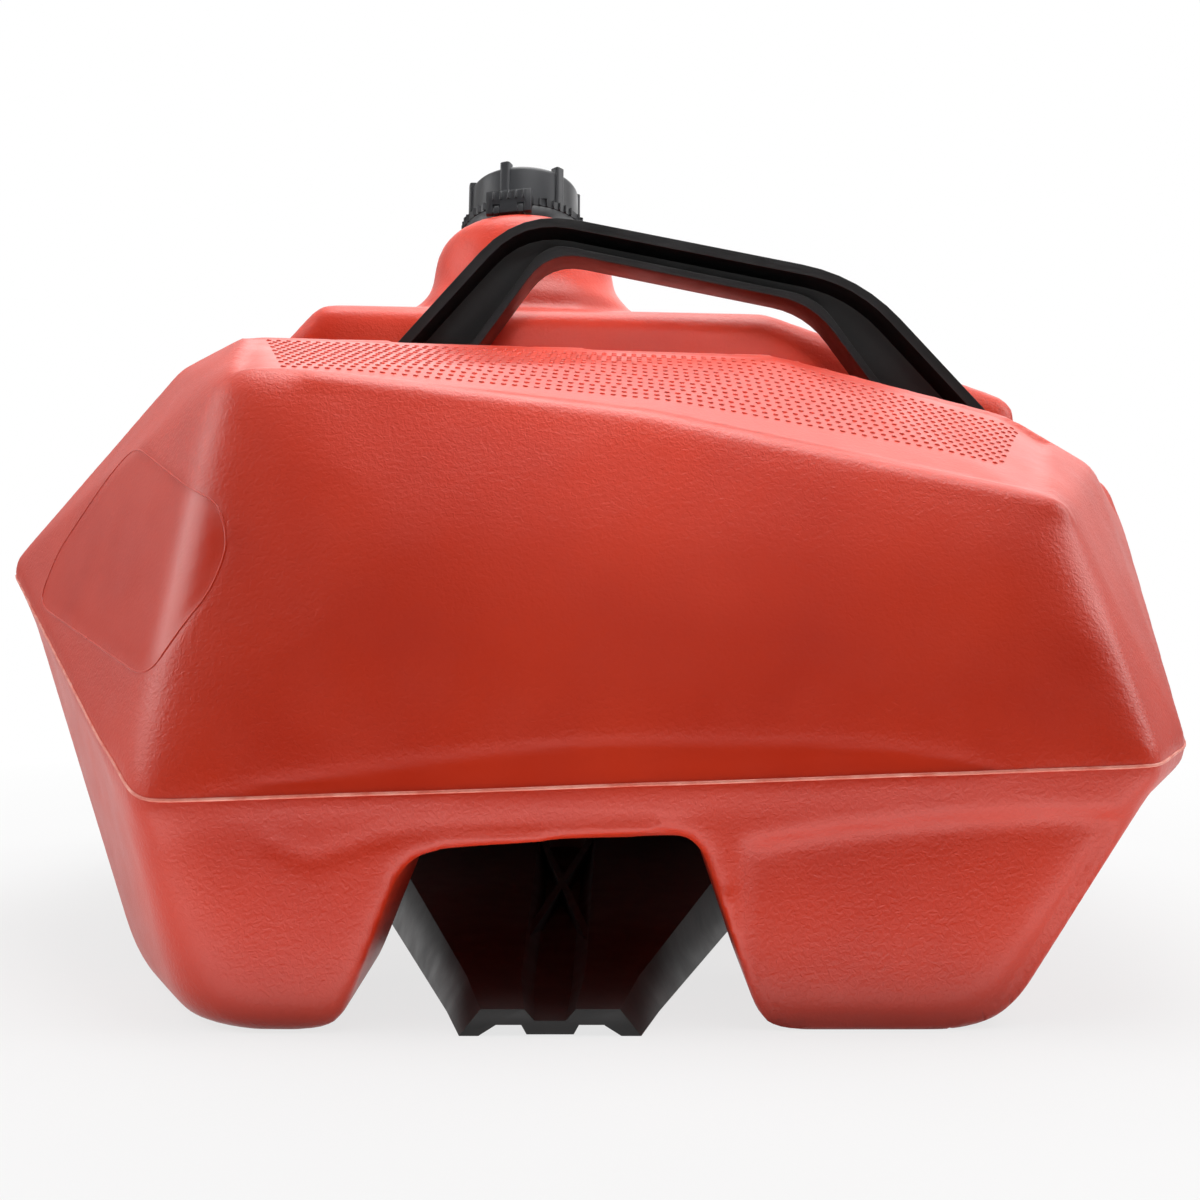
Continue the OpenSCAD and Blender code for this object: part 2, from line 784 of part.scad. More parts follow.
module carry_handle() {
    pocket_rounds = [for (r = grip_rounds) max(r - flange_out, 3)];
    color("#232425")
    difference() {
        translate([0, grip_y + grip_d / 2, 0])
            grip_prism(grip_outline, grip_rounds, grip_d);
        translate([0, grip_y + grip_d / 2 - web_t, 0])
            grip_prism(inset(grip_outline, pocket_insets), pocket_rounds, grip_d);
        handle_points([0:3])
            translate([0, 0, -1]) cylinder(h = grip_plate + 2, r = screw_r + screw_gap);
    }
}

module screw(grip) {
    translate([0, 0, grip]) cylinder(h = screw_head_h, r = screw_head_r);
    translate([0, 0, 2 - insert_h]) cylinder(h = insert_h - 2 + grip + eps, r = screw_r);
}

module insert() {
    difference() {
        translate([0, 0, -insert_h]) cylinder(h = insert_h, r = insert_r);
        translate([0, 0, -insert_h - 1]) cylinder(h = insert_h + 2, r = screw_r + insert_gap);
    }
}

module handle_screws_left() { color("#9A9DA0") handle_points([0:1]) screw(grip_plate); }
module handle_screws_right() { color("#9A9DA0") handle_points([2:3]) screw(grip_plate); }
module handle_inserts_left() { color("#B08D4A") handle_points([0:1]) insert(); }
module handle_inserts_right() { color("#B08D4A") handle_points([2:3]) insert(); }

// Stations of the undercarriage from its tip to the rear of its box: distance behind the front face,
// half width at the floor, half width on top, height, half width of the groove and depth of the groove
rib_low = 1.2;
under_stations = [
    [0, tip_half, tip_half - side_draft, tip_h, groove_half * 0.62, groove_tip],
    [shoulder_back, tip_half + side_draft, tip_half, tip_h + shoulder_rise, groove_half * 0.8, groove_tip],
    [taper_end, taper_half, taper_half - side_draft, taper_h, groove_half, groove_deep],
    [box_front, box_half, box_half - side_draft, belly_z, groove_half, groove_deep],
    [box_rear, box_half, box_half - side_draft, belly_z, groove_half, groove_deep],
];

function under_ring(s, low, high, foot, top) =
    [for (p = [[-low, foot], [-high, top], [high, top], [low, foot]]) [p.x, front_y + s[0], p.y]];

// Height of the channel's top and depth of its groove between the shoulder and the end of the taper
function taper_at(y, k) =
    let (a = under_stations[1], b = under_stations[2])
    lerp(a[k], b[k], (y - a[0]) / (b[0] - a[0]));

function rib_ring(y, x) =
    let (top = taper_at(y, 3) - rib_low, foot = taper_at(y, 3) - taper_at(y, 5) - 0.5)
    [for (p = [[-rib_t / 2, foot], [-rib_t / 2, top], [rib_t / 2, top], [rib_t / 2, foot]])
        [x + p.x, front_y + y, p.y]];

module crossed_ribs() {
    reach = groove_half * 0.94;
    for (side = [-1, 1])
        loft([rib_ring(rib_front, side * reach), rib_ring(rib_rear, -side * reach)]);
}

module channel() {
    floor_w = groove_half * 0.55;
    lap = 1;
    last = len(under_stations) - 1;
    // Cuts run a little past both ends of the channel
    cut_stations = [for (i = [0:last])
        let (over = i == 0 ? -lap : i == last ? lap : 0)
        concat([under_stations[i][0] + over], [for (k = [1:5]) under_stations[i][k]])];
    difference() {
        union() {
            difference() {
                loft([for (s = under_stations) under_ring(s, s[1], s[2], 0, s[3])]);
                loft([for (s = cut_stations)
                    under_ring(s, s[1] - under_t, s[2] - under_t, -lap, s[3] - under_t)]);
            }
            loft([for (s = under_stations)
                under_ring(s, floor_w * s[4] / groove_half + under_t / 2, s[4] + under_t / 2,
                    s[3] - s[5] - under_t + lap, s[3] - lap)]);
            along_x(1, -tube_end, tube_end, tube_r);
        }
        loft([for (s = cut_stations)
            under_ring(s, floor_w * s[4] / groove_half, s[4], s[3] - s[5], s[3] + lap)]);
        along_x(1, -tube_end - lap, tube_end + lap, axle_r + axle_gap);
        under_points()
            translate([0, 0, -under_t - lap]) cylinder(h = under_t + 2 * lap, r = screw_r + screw_gap);
    }
}

module undercarriage() {
    color("#1E1D1D") {
        channel();
        crossed_ribs();
    }
}

module undercarriage_screws() {
    color("#9A9DA0") under_points() mirror([0, 0, 1]) screw(under_t);
}

module undercarriage_inserts() {
    color("#B08D4A") under_points() mirror([0, 0, 1]) insert();
}

cap_t = 7;
axle_half = hub_out + cap_t - 2;

module axle() {
    color("#A9ACAF")
    translate([-axle_half, axle_y, wheel_r])
        rotate([0, 90, 0]) cylinder(h = 2 * axle_half, r = axle_r);
}

module washer(side) {
    color("#9A9DA0")
    difference() {
        along_x(side, tube_end, tube_end + washer_t, tube_r);
        along_x(side, tube_end - 1, tube_end + washer_t + 1, axle_r + axle_gap);
    }
}

module push_cap(side) {
    color("#9A9DA0")
    difference() {
        along_x(side, hub_out + hub_play, hub_out + cap_t, axle_r * 2);
        along_x(side, hub_out, axle_half + 0.1, axle_r + axle_gap);
    }
}

module wheel_profile(side, outline) {
    translate([side * wheel_x, axle_y, wheel_r])
        rotate([0, 90, 0])
            rotate_extrude() polygon(outline);
}

rim_r = wheel_r - tyre_t;
rim_w = wheel_w * 0.74;

// One ring of a wheel, between two radii and of the given width
module wheel_ring(side, inner, outer, width) {
    h = width / 2;
    wheel_profile(side, [[inner, -h], [outer, -h], [outer, h], [inner, h]]);
}

bush_r = axle_r + axle_gap + bush_t;
rim_t = 4;
spoke_t = 4;
spoke_w = rim_w * 0.8;
spoke_lap = 1;

module wheel_hub(side) {
    rim_in = rim_r - rim_t;
    color("#2B2C2D")
    difference() {
        union() {
            wheel_ring(side, bush_r, hub_r, wheel_w);
            wheel_ring(side, rim_in, rim_r, rim_w);
            wheel_ring(side, hub_r - spoke_lap, rim_in + spoke_lap, spoke_t);
            translate([side * wheel_x, axle_y, wheel_r])
                for (i = [0:spoke_count - 1])
                    rotate([i * 360 / spoke_count, 0, 0])
                        translate([-spoke_w / 2, -spoke_t / 2, hub_r - spoke_lap])
                            cube([spoke_w, spoke_t, rim_in - hub_r + 2 * spoke_lap]);
        }
        along_x(side, hub_in - 1, hub_out + 1, bush_r + insert_gap);
    }
}

module wheel_bush(side) {
    color("#D8D2C4")
    difference() {
        along_x(side, hub_in, hub_out, bush_r);
        along_x(side, hub_in - 1, hub_out + 1, axle_r + axle_gap);
    }
}

module tyre(side) {
    tread = 4;
    color("#232323")
    wheel_profile(side, soften(
        [
            [rim_r + insert_gap, -rim_w / 2],
            [wheel_r - tread, -wheel_w / 2],
            [wheel_r, -wheel_w * 0.3],
            [wheel_r, wheel_w * 0.3],
            [wheel_r - tread, wheel_w / 2],
            [rim_r + insert_gap, rim_w / 2],
        ],
        [0, 3, 3, 3, 3, 0]
    ));
}

module washer_left() { washer(-1); }
module washer_right() { washer(1); }
module push_cap_left() { push_cap(-1); }
module push_cap_right() { push_cap(1); }
module wheel_hub_left() { wheel_hub(-1); }
module wheel_hub_right() { wheel_hub(1); }
module wheel_bush_left() { wheel_bush(-1); }
module wheel_bush_right() { wheel_bush(1); }
module tyre_left() { tyre(-1); }
module tyre_right() { tyre(1); }

tank_shell();
tab_collar();
lock_tab();
cap_gasket();
filler_cap();
carry_handle();
handle_screws_left();
handle_screws_right();
handle_inserts_left();
handle_inserts_right();
undercarriage();
undercarriage_screws();
undercarriage_inserts();
axle();
washer_left();
washer_right();
push_cap_left();
push_cap_right();
wheel_hub_left();
wheel_hub_right();
wheel_bush_left();
wheel_bush_right();
tyre_left();
tyre_right();
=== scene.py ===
import math
import bpy
import bmesh
from mathutils import Matrix, Vector
from mathutils.bvhtree import BVHTree


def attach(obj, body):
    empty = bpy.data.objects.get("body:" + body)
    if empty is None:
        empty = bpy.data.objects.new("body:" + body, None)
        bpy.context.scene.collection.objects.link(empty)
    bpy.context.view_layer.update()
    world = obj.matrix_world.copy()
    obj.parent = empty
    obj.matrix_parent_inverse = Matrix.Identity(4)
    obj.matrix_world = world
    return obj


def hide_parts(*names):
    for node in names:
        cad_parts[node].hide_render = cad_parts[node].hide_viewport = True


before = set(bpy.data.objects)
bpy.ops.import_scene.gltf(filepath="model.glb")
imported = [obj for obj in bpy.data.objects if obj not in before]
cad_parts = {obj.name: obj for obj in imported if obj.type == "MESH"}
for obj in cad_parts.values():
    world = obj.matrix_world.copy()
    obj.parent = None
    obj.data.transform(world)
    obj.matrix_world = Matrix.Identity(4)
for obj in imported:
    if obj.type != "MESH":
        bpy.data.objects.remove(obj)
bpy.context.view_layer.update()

scene = bpy.context.scene
scene.view_settings.view_transform = "Standard"

cameraSet = {
    "place": (0.0186, -0.840, 0.1625),  # level, low in front of the caddy
    "lens": 48.3, "sensor": 36.0,       # mm
    "nearest": 0.02,
    "pixels": 1200,                     # each side of the square frame
}
halfFrame = cameraSet["pixels"] / 2
focalPixels = cameraSet["pixels"] * cameraSet["lens"] / cameraSet["sensor"]

cameraData = bpy.data.cameras.new("photoCamera")
cameraData.lens = cameraSet["lens"]
cameraData.sensor_width = cameraSet["sensor"]
cameraData.clip_start = cameraSet["nearest"]
camera = bpy.data.objects.new("photoCamera", cameraData)
camera.location = cameraSet["place"]
camera.rotation_euler = (math.radians(90), 0, 0)
scene.collection.objects.link(camera)
scene.camera = camera
print("camera set")


def photoPixel(point):
    # where a point of the caddy falls in the frame
    across, away, up = (point[i] - cameraSet["place"][i] for i in range(3))
    scale = focalPixels / away
    return halfFrame + across * scale, halfFrame - up * scale


def photoRay(pixel):
    # direction from the camera through a pixel of the frame
    across, down = pixel
    return Vector(((across - halfFrame) / focalPixels, 1.0, (halfFrame - down) / focalPixels)).normalized()


def linearColour(hexText):
    # sRGB hex text to linear, with full alpha
    parts = [int(hexText[i:i + 2], 16) / 255 for i in (1, 3, 5)]
    return tuple(c / 12.92 if c <= 0.04045 else ((c + 0.055) / 1.055) ** 2.4 for c in parts) + (1.0,)


def grey(value):
    return (value, value, value, 1.0)


def addNode(tree, kind, settings=None, values=None, links=None):
    node = tree.nodes.new(kind)
    for key, value in (settings or {}).items():
        setattr(node, key, value)
    for key, value in (values or {}).items():
        node.inputs[key].default_value = value
    for key, socket in (links or {}).items():
        tree.links.new(socket, node.inputs[key])
    return node


def openMesh(mesh):
    work = bmesh.new()
    work.from_mesh(mesh)
    return work


def closeMesh(work, mesh):
    work.to_mesh(mesh)
    work.free()
    return mesh


def linkObject(name, mesh):
    piece = bpy.data.objects.new(name, mesh)
    scene.collection.objects.link(piece)
    return piece


def linkWork(name, work):
    return linkObject(name, closeMesh(work, bpy.data.meshes.new(name)))


copySet = {
    "weld": 2e-6,      # joins a node's loose triangles
    "flatAngle": 0.6,  # degrees, triangles this close to one plane become one face
}


def mergedCopy(nodeName, pieceName, flatten=True):
    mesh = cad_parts[nodeName].data.copy()
    mesh.materials.clear()
    work = openMesh(mesh)
    bmesh.ops.remove_doubles(work, verts=work.verts, dist=copySet["weld"])
    if flatten:
        bmesh.ops.dissolve_limit(work, angle_limit=math.radians(copySet["flatAngle"]), verts=work.verts,
                                 edges=work.edges, use_dissolve_boundaries=False)
    return linkObject(pieceName, closeMesh(work, mesh))


def bakeModifiers(piece):
    view = bpy.context.evaluated_depsgraph_get()
    mesh = bpy.data.meshes.new_from_object(piece.evaluated_get(view), depsgraph=view)
    piece.modifiers.clear()
    old = piece.data
    piece.data = mesh
    bpy.data.meshes.remove(old)


def smoothByAngle(piece, degrees):
    # smooth shading that stays sharp over edges of this angle or more
    work = openMesh(piece.data)
    for face in work.faces:
        face.smooth = True
    limit = math.radians(degrees)
    for edge in work.edges:
        edge.smooth = len(edge.link_faces) == 2 and edge.calc_face_angle(0.0) < limit
    closeMesh(work, piece.data)


def finishPiece(piece, body, material, nodes=()):
    piece.data.materials.clear()
    piece.data.materials.append(material)
    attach(piece, body)
    if nodes:
        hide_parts(*nodes)


def newMaterial(name, viewColour):
    material = bpy.data.materials.new(name)
    material.use_nodes = True
    material.diffuse_color = linearColour(viewColour)
    tree = material.node_tree
    tree.nodes.clear()
    shader = addNode(tree, "ShaderNodeBsdfPrincipled")
    addNode(tree, "ShaderNodeOutputMaterial", links={"Surface": shader.outputs[0]})
    place = addNode(tree, "ShaderNodeTexCoord").outputs["Object"]
    return material, tree, shader, place


mottleSet = {
    "roughness": 0.55,
    "span": (0.3, 0.7),  # the noise values at which the two ends are reached
}


def mottle(tree, place, sizeMm, detail, ends, span=mottleSet["span"]):
    # soft variation between two ends, one patch about sizeMm across
    noise = addNode(tree, "ShaderNodeTexNoise",
                    values={"Scale": 1000 / sizeMm, "Detail": detail, "Roughness": mottleSet["roughness"]},
                    links={"Vector": place})
    ramp = addNode(tree, "ShaderNodeValToRGB", links={"Fac": noise.outputs["Fac"]})
    for stop, position, colour in zip(ramp.color_ramp.elements, span, ends):
        stop.position = position
        stop.color = colour
    return ramp.outputs["Color"]


def joinShader(tree, shader, colour, rough, bump):
    tree.links.new(colour, shader.inputs["Base Color"])
    tree.links.new(rough, shader.inputs["Roughness"])
    tree.links.new(bump.outputs[0], shader.inputs["Normal"])


redSet = {
    "view": "#C23222", "ior": 1.50,
    "deep": "#B92A10", "bright": "#C63215",  # pigment streaks of the parison
    "streakMm": 70, "streakDetail": 2.0, "streakSpan": (0.30, 0.72),
    "smoothRoughness": 0.27, "grainRoughness": 0.37,
    "patchRoughness": 0.07, "patchMm": 24, "patchDetail": 3.0,
    "grainMm": 1.7,    # etched leather grain, drawn a little coarse to show
    "grainDistortion": 0.6,
    "wrinkleMm": 4.5,  # longer wrinkles across the flow
    "wrinkleDistortion": 1.2, "wrinkleStretch": (0.55, 1.0, 1.35), "wrinkleShare": 0.3,
    "grainHeight": 0.00040,
    "smoothStrength": 0.10, "grainStrength": 0.62,
}


def redPolyethylene():
    # blow-moulded high-density polyethylene: an etched mould grain breaks up its waxy sheen,
    # and the polished zones of the mould stay glossier
    material, tree, shader, place = newMaterial("redPolyethylene", redSet["view"])
    shader.inputs["IOR"].default_value = redSet["ior"]
    colour = mottle(tree, place, redSet["streakMm"], redSet["streakDetail"],
                    [linearColour(redSet["deep"]), linearColour(redSet["bright"])], redSet["streakSpan"])
    zone = addNode(tree, "ShaderNodeAttribute", {"attribute_name": "grain"}).outputs["Fac"]
    base = addNode(tree, "ShaderNodeMapRange",
                   values={"To Min": redSet["smoothRoughness"], "To Max": redSet["grainRoughness"]},
                   links={"Value": zone})
    spread = mottle(tree, place, redSet["patchMm"], redSet["patchDetail"],
                    [grey(0.0), grey(redSet["patchRoughness"])])
    rough = addNode(tree, "ShaderNodeMath", {"operation": "ADD"}, links={0: base.outputs[0], 1: spread})
    fine = addNode(tree, "ShaderNodeTexNoise",
                   values={"Scale": 1000 / redSet["grainMm"], "Distortion": redSet["grainDistortion"]},
                   links={"Vector": place})
    stretch = addNode(tree, "ShaderNodeMapping", values={"Scale": redSet["wrinkleStretch"]},
                      links={"Vector": place})
    wrinkle = addNode(tree, "ShaderNodeTexNoise",
                      values={"Scale": 1000 / redSet["wrinkleMm"], "Distortion": redSet["wrinkleDistortion"]},
                      links={"Vector": stretch.outputs[0]})
    both = addNode(tree, "ShaderNodeMath", {"operation": "MULTIPLY_ADD"}, {1: redSet["wrinkleShare"]},
                   {0: wrinkle.outputs["Fac"], 2: fine.outputs["Fac"]})
    strength = addNode(tree, "ShaderNodeMapRange",
                       values={"To Min": redSet["smoothStrength"], "To Max": redSet["grainStrength"]},
                       links={"Value": zone})
    bump = addNode(tree, "ShaderNodeBump", values={"Distance": redSet["grainHeight"]},
                   links={"Height": both.outputs[0], "Strength": strength.outputs[0]})
    joinShader(tree, shader, colour, rough.outputs[0], bump)
    return material


def grainedMaterial(name, sizes):
    # mottled colour and gloss over a fine surface grain
    material, tree, shader, place = newMaterial(name, sizes.get("view", sizes["light"]))
    for label, value in sizes["surface"].items():
        shader.inputs[label].default_value = value
    colour = mottle(tree, place, sizes["patchMm"], sizes["patchDetail"],
                    [linearColour(sizes["dark"]), linearColour(sizes["light"])], sizes["patchSpan"])
    rough = mottle(tree, place, sizes["roughMm"], sizes["roughDetail"],
                   [grey(value) for value in sizes["roughness"]])
    grain = addNode(tree, "ShaderNodeTexNoise", values={"Scale": 1000 / sizes["grainMm"]},
                    links={"Vector": place})
    bump = addNode(tree, "ShaderNodeBump",
                   values={"Strength": sizes["strength"], "Distance": sizes["height"]},
                   links={"Height": grain.outputs["Fac"]})
    joinShader(tree, shader, colour, rough, bump)
    return material


tankRed = redPolyethylene()

# polyethylene where the mould halves meet, its trimmed flash nicked by the knife; its colour is painted paler
# than the tank red, a painted highlight along the seam
flashPaintedHighlight = grainedMaterial("seamPaintedHighlight", {
    "surface": {"IOR": 1.54}, "view": "#E08A78", "dark": "#CC5843", "light": "#E39483",
    "patchMm": 9, "patchDetail": 3.0, "patchSpan": mottleSet["span"],
    "roughness": (0.42, 0.56), "roughMm": 6, "roughDetail": 3.0,
    "grainMm": 2.2, "strength": 0.5, "height": 0.0003})

# injection-moulded polypropylene: deep black with faint flow marks, half dulled by a spark-eroded grain,
# which is about 0.1 mm on the real pieces and is drawn coarser to show
mouldedSet = {
    "surface": {"IOR": 1.49},
    "patchMm": 35, "patchDetail": 3.0, "patchSpan": (0.3, 0.75),
    "roughMm": 16, "roughDetail": 4.0,
    "strength": 0.35,
}
handleBlack = grainedMaterial("blackPolypropyleneHandle", {
    **mouldedSet, "dark": "#131313", "light": "#1F1F20", "roughness": (0.36, 0.46),
    "grainMm": 0.9, "height": 0.00010})
capBlack = grainedMaterial("blackPolypropyleneCap", {
    **mouldedSet, "dark": "#1F2022", "light": "#2E2F32", "roughness": (0.32, 0.42),
    "grainMm": 0.7, "height": 0.00008})
carriageBlack = grainedMaterial("blackPolypropyleneUndercarriage", {
    **mouldedSet, "dark": "#151414", "light": "#211F1F", "roughness": (0.36, 0.48),
    "grainMm": 1.1, "height": 0.00010})
hubBlack = grainedMaterial("blackPolypropyleneHub", {
    **mouldedSet, "dark": "#202122", "light": "#303132", "roughness": (0.38, 0.5),
    "grainMm": 1.0, "height": 0.00010})

# pressed nitrile rubber: a dull grey black with no clear reflection
gasketBlack = grainedMaterial("nitrileGasket", {
    **mouldedSet, "surface": {"IOR": 1.52}, "dark": "#1B1B1B", "light": "#2A2A2A", "roughness": (0.6, 0.75),
    "grainMm": 0.6, "height": 0.00008})

# vulcanised tread rubber: matt and a little dusty, with a coarser skin
tyreBlack = grainedMaterial("treadRubber", {
    **mouldedSet, "surface": {"IOR": 1.52}, "dark": "#161616", "light": "#262524", "roughness": (0.62, 0.8),
    "grainMm": 0.8, "height": 0.00018})

# moulded nylon: warm ivory with a soft sheen
bushNylon = grainedMaterial("nylonBush", {
    **mouldedSet, "surface": {"IOR": 1.53}, "dark": "#CBC3B0", "light": "#DAD4C4", "roughness": (0.35, 0.45),
    "grainMm": 0.9, "height": 0.00006})

# turned and plated metal: bright, with slightly dull patches and fine machining marks, drawn coarse to show
metalSet = {
    "surface": {"Metallic": 1.0},
    "patchMm": 9, "patchDetail": 3.0, "patchSpan": mottleSet["span"],
    "roughDetail": 5.0,
    "strength": 0.2, "height": 0.00008,
}

# zinc-plated steel: a cool grey, a little cloudy
zincSteel = grainedMaterial("zincPlatedSteel", {
    **metalSet, "dark": "#9EA2A6", "light": "#BFC3C7", "roughness": (0.24, 0.38),
    "roughMm": 1.6, "grainMm": 1.6})

# turned brass: a warm yellow that mirrors more sharply
insertBrass = grainedMaterial("turnedBrass", {
    **metalSet, "dark": "#9A7A3C", "light": "#BD9A55", "roughness": (0.22, 0.36),
    "roughMm": 1.2, "grainMm": 1.2})
print("materials ready")


tankSet = {
    "voxel": 0.0034,
    "smoothFactor": 0.5, "smoothRounds": 7, "softRounds": 90,
    "neckSeat": (-0.026, 0.106, 0.369), "neckLean": 17.0,
    "neckSides": 64,
    "cutRadius": 0.033, "cutHeight": 0.05,  # takes off the spout, which is a piece of its own here
    "plugRadius": 0.026, "plugSpan": (-0.012, -0.0005),
    # edges that the moulding rounds generously, as start, end and reach:
    # the bend across the front, the left front corner, and the top of that corner
    "softEdges": [((-0.085, -0.220, 0.186), (0.205, -0.214, 0.178), 0.036),
                  ((-0.140, -0.190, 0.236), (-0.154, -0.232, 0.118), 0.056),
                  ((-0.136, -0.182, 0.258), (-0.146, -0.204, 0.205), 0.070)],
    "softCore": 0.3,  # share of the reach that is fully rounded
    # the ridge along the front of the top panel stays crisp
    "ridge": [(-0.098, -0.184, 0.2534), (0.034, -0.191, 0.238), (0.206, -0.200, 0.200)],
    "ridgeReach": 0.012, "ridgeLift": 0.0009,
    "ridgeSparing": 0.8,  # share of the plain rounding that the ridge is spared
}
neckTurn = Matrix.Rotation(math.radians(-tankSet["neckLean"]), 4, "X")
neckFrame = Matrix.Translation(tankSet["neckSeat"]) @ neckTurn


def neckCylinder(name, radius, low, high):
    work = bmesh.new()
    bmesh.ops.create_cone(work, cap_ends=True, segments=tankSet["neckSides"], radius1=radius, radius2=radius,
                          depth=high - low)
    middle = Matrix.Translation((0, 0, (low + high) / 2))
    bmesh.ops.transform(work, matrix=neckFrame @ middle, verts=work.verts)
    return closeMesh(work, bpy.data.meshes.new(name))


def islandsOf(work):
    # groups of joined points, the largest first
    left = set(work.verts)
    islands = []
    while left:
        seed = left.pop()
        island, queue = {seed}, [seed]
        while queue:
            for edge in queue.pop().link_edges:
                for vert in edge.verts:
                    if vert in left:
                        left.discard(vert)
                        island.add(vert)
                        queue.append(vert)
        islands.append(island)
    return sorted(islands, key=len, reverse=True)


def keepLargestIsland(mesh):
    work = openMesh(mesh)
    spare = [vert for island in islandsOf(work)[1:] for vert in island]
    bmesh.ops.delete(work, geom=spare, context="VERTS")
    bmesh.ops.recalc_face_normals(work, faces=work.faces)
    closeMesh(work, mesh)


def unitClamp(value):
    return max(0.0, min(1.0, value))


def smoothStep(value, low, high):
    t = unitClamp((value - low) / (high - low))
    return t * t * (3 - 2 * t)


def distanceToLine(point, start, end):
    along = end - start
    t = unitClamp((point - start).dot(along) / along.length_squared)
    return (point - start - along * t).length


def outlineDepth(spot, outline):
    # how far a spot lies inside an outline, negative outside
    x, y = spot
    inside, nearest = False, math.inf
    for (ax, ay), (bx, by) in zip(outline, outline[1:] + outline[:1]):
        if (ay > y) != (by > y) and x < (bx - ax) * (y - ay) / (by - ay) + ax:
            inside = not inside
        dx, dy = bx - ax, by - ay
        t = unitClamp(((x - ax) * dx + (y - ay) * dy) / (dx * dx + dy * dy))
        nearest = min(nearest, math.hypot(x - ax - t * dx, y - ay - t * dy))
    return nearest if inside else -nearest


def tankSkin():
    # the outer skin of the tank without its spout, as an even net of quads
    tank = mergedCopy("tank_shell", "tankBody", flatten=False)
    cutter = linkObject("spoutCutter",
                        neckCylinder("spoutCutter", tankSet["cutRadius"], 0.0, tankSet["cutHeight"]))
    cut = tank.modifiers.new("cutSpout", "BOOLEAN")
    cut.operation, cut.solver, cut.object = "DIFFERENCE", "EXACT", cutter
    bakeModifiers(tank)
    bpy.data.objects.remove(cutter)
    # a plug in the throat keeps the inside apart from the outer skin
    work = openMesh(tank.data)
    work.from_mesh(neckCylinder("throatPlug", tankSet["plugRadius"], *tankSet["plugSpan"]))
    closeMesh(work, tank.data)
    remesh = tank.modifiers.new("remesh", "REMESH")
    remesh.mode, remesh.voxel_size = "VOXEL", tankSet["voxel"]
    bakeModifiers(tank)
    keepLargestIsland(tank.data)
    return tank


def softenTank(tank):
    # rounds the skin, most of all along the soft edges, and keeps the ridge
    ridge = [Vector(corner) for corner in tankSet["ridge"]]
    softEdges = [(Vector(start), Vector(end), reach) for start, end, reach in tankSet["softEdges"]]
    melting = tank.vertex_groups.new(name="melting")
    plain = tank.vertex_groups.new(name="plain")
    nearRidge = {}
    for vert in tank.data.vertices:
        weight = max(1 - smoothStep(distanceToLine(vert.co, start, end), tankSet["softCore"] * reach, reach)
                     for start, end, reach in softEdges)
        away = min(distanceToLine(vert.co, start, end) for start, end in zip(ridge, ridge[1:]))
        crisp = 1 - smoothStep(away, 0.0, tankSet["ridgeReach"])
        if crisp > 0:
            nearRidge[vert.index] = crisp
        melting.add([vert.index], weight * (1 - crisp), "REPLACE")
        plain.add([vert.index], 1 - tankSet["ridgeSparing"] * crisp, "REPLACE")
    for group, rounds in (("plain", tankSet["smoothRounds"]), ("melting", tankSet["softRounds"])):
        soften = tank.modifiers.new(group, "SMOOTH")
        soften.factor, soften.iterations, soften.vertex_group = tankSet["smoothFactor"], rounds, group
    bakeModifiers(tank)
    normals = {i: tank.data.vertices[i].normal.copy() for i in nearRidge}
    for i, crisp in nearRidge.items():
        tank.data.vertices[i].co += normals[i] * crisp * crisp * tankSet["ridgeLift"]
    for polygon in tank.data.polygons:
        polygon.use_smooth = True


# mould zones of the front, drawn in the frame's pixels
zoneSet = {
    "label": {"outline": [(130, 452), (58, 552), (40, 598), (45, 609), (138, 674), (153, 671), (210, 592),
                          (229, 545), (219, 503), (140, 449)],
              "blend": (-3, 5), "depth": 0.0006, "polish": 0.9},
    "scoop": {"outline": [(190, 799), (215, 790), (265, 774), (391, 755), (483, 743), (578, 734), (640, 732),
                          (811, 732), (900, 738), (940, 744), (975, 753), (1000, 768), (1000, 774),
                          (829, 782), (440, 797)],
              "blend": (-2, 14), "depth": 0.0013, "polish": 1.0},
    "leftCrease": {"outline": [(252, 824), (285, 842), (312, 848), (345, 838), (385, 827), (440, 820),
                               (560, 814), (700, 814), (700, 824), (440, 838), (385, 846), (312, 872),
                               (262, 850)],
                   "blend": (-3, 9), "depth": 0.0011, "polish": 0.0},
    "rightLeg": {"outline": [(742, 842), (800, 830), (880, 820), (960, 813), (1040, 808), (1105, 808),
                             (1128, 816), (1090, 940), (1000, 1050), (735, 1050)],
                 "blend": (-6, 18), "depth": 0.0046, "polish": 0.0},
}
frontSet = {
    "rear": 0.03,            # the zones end before the rear half
    "facing": (0.12, 0.45),  # and fade out before the faces turn away from the camera
}
# the sunk panel on top, drawn in plan
panelSet = {
    "plan": [(-0.134, -0.175), (0.034, -0.184), (0.200, -0.192), (0.230, -0.088), (0.205, -0.080),
             (0.10, -0.078), (-0.150, -0.078)],
    "blend": (-0.001, 0.005), "depth": 0.0020, "polish": 0.85,
    "upright": 0.6, "rear": -0.06,  # only faces that look up, and none behind this
}


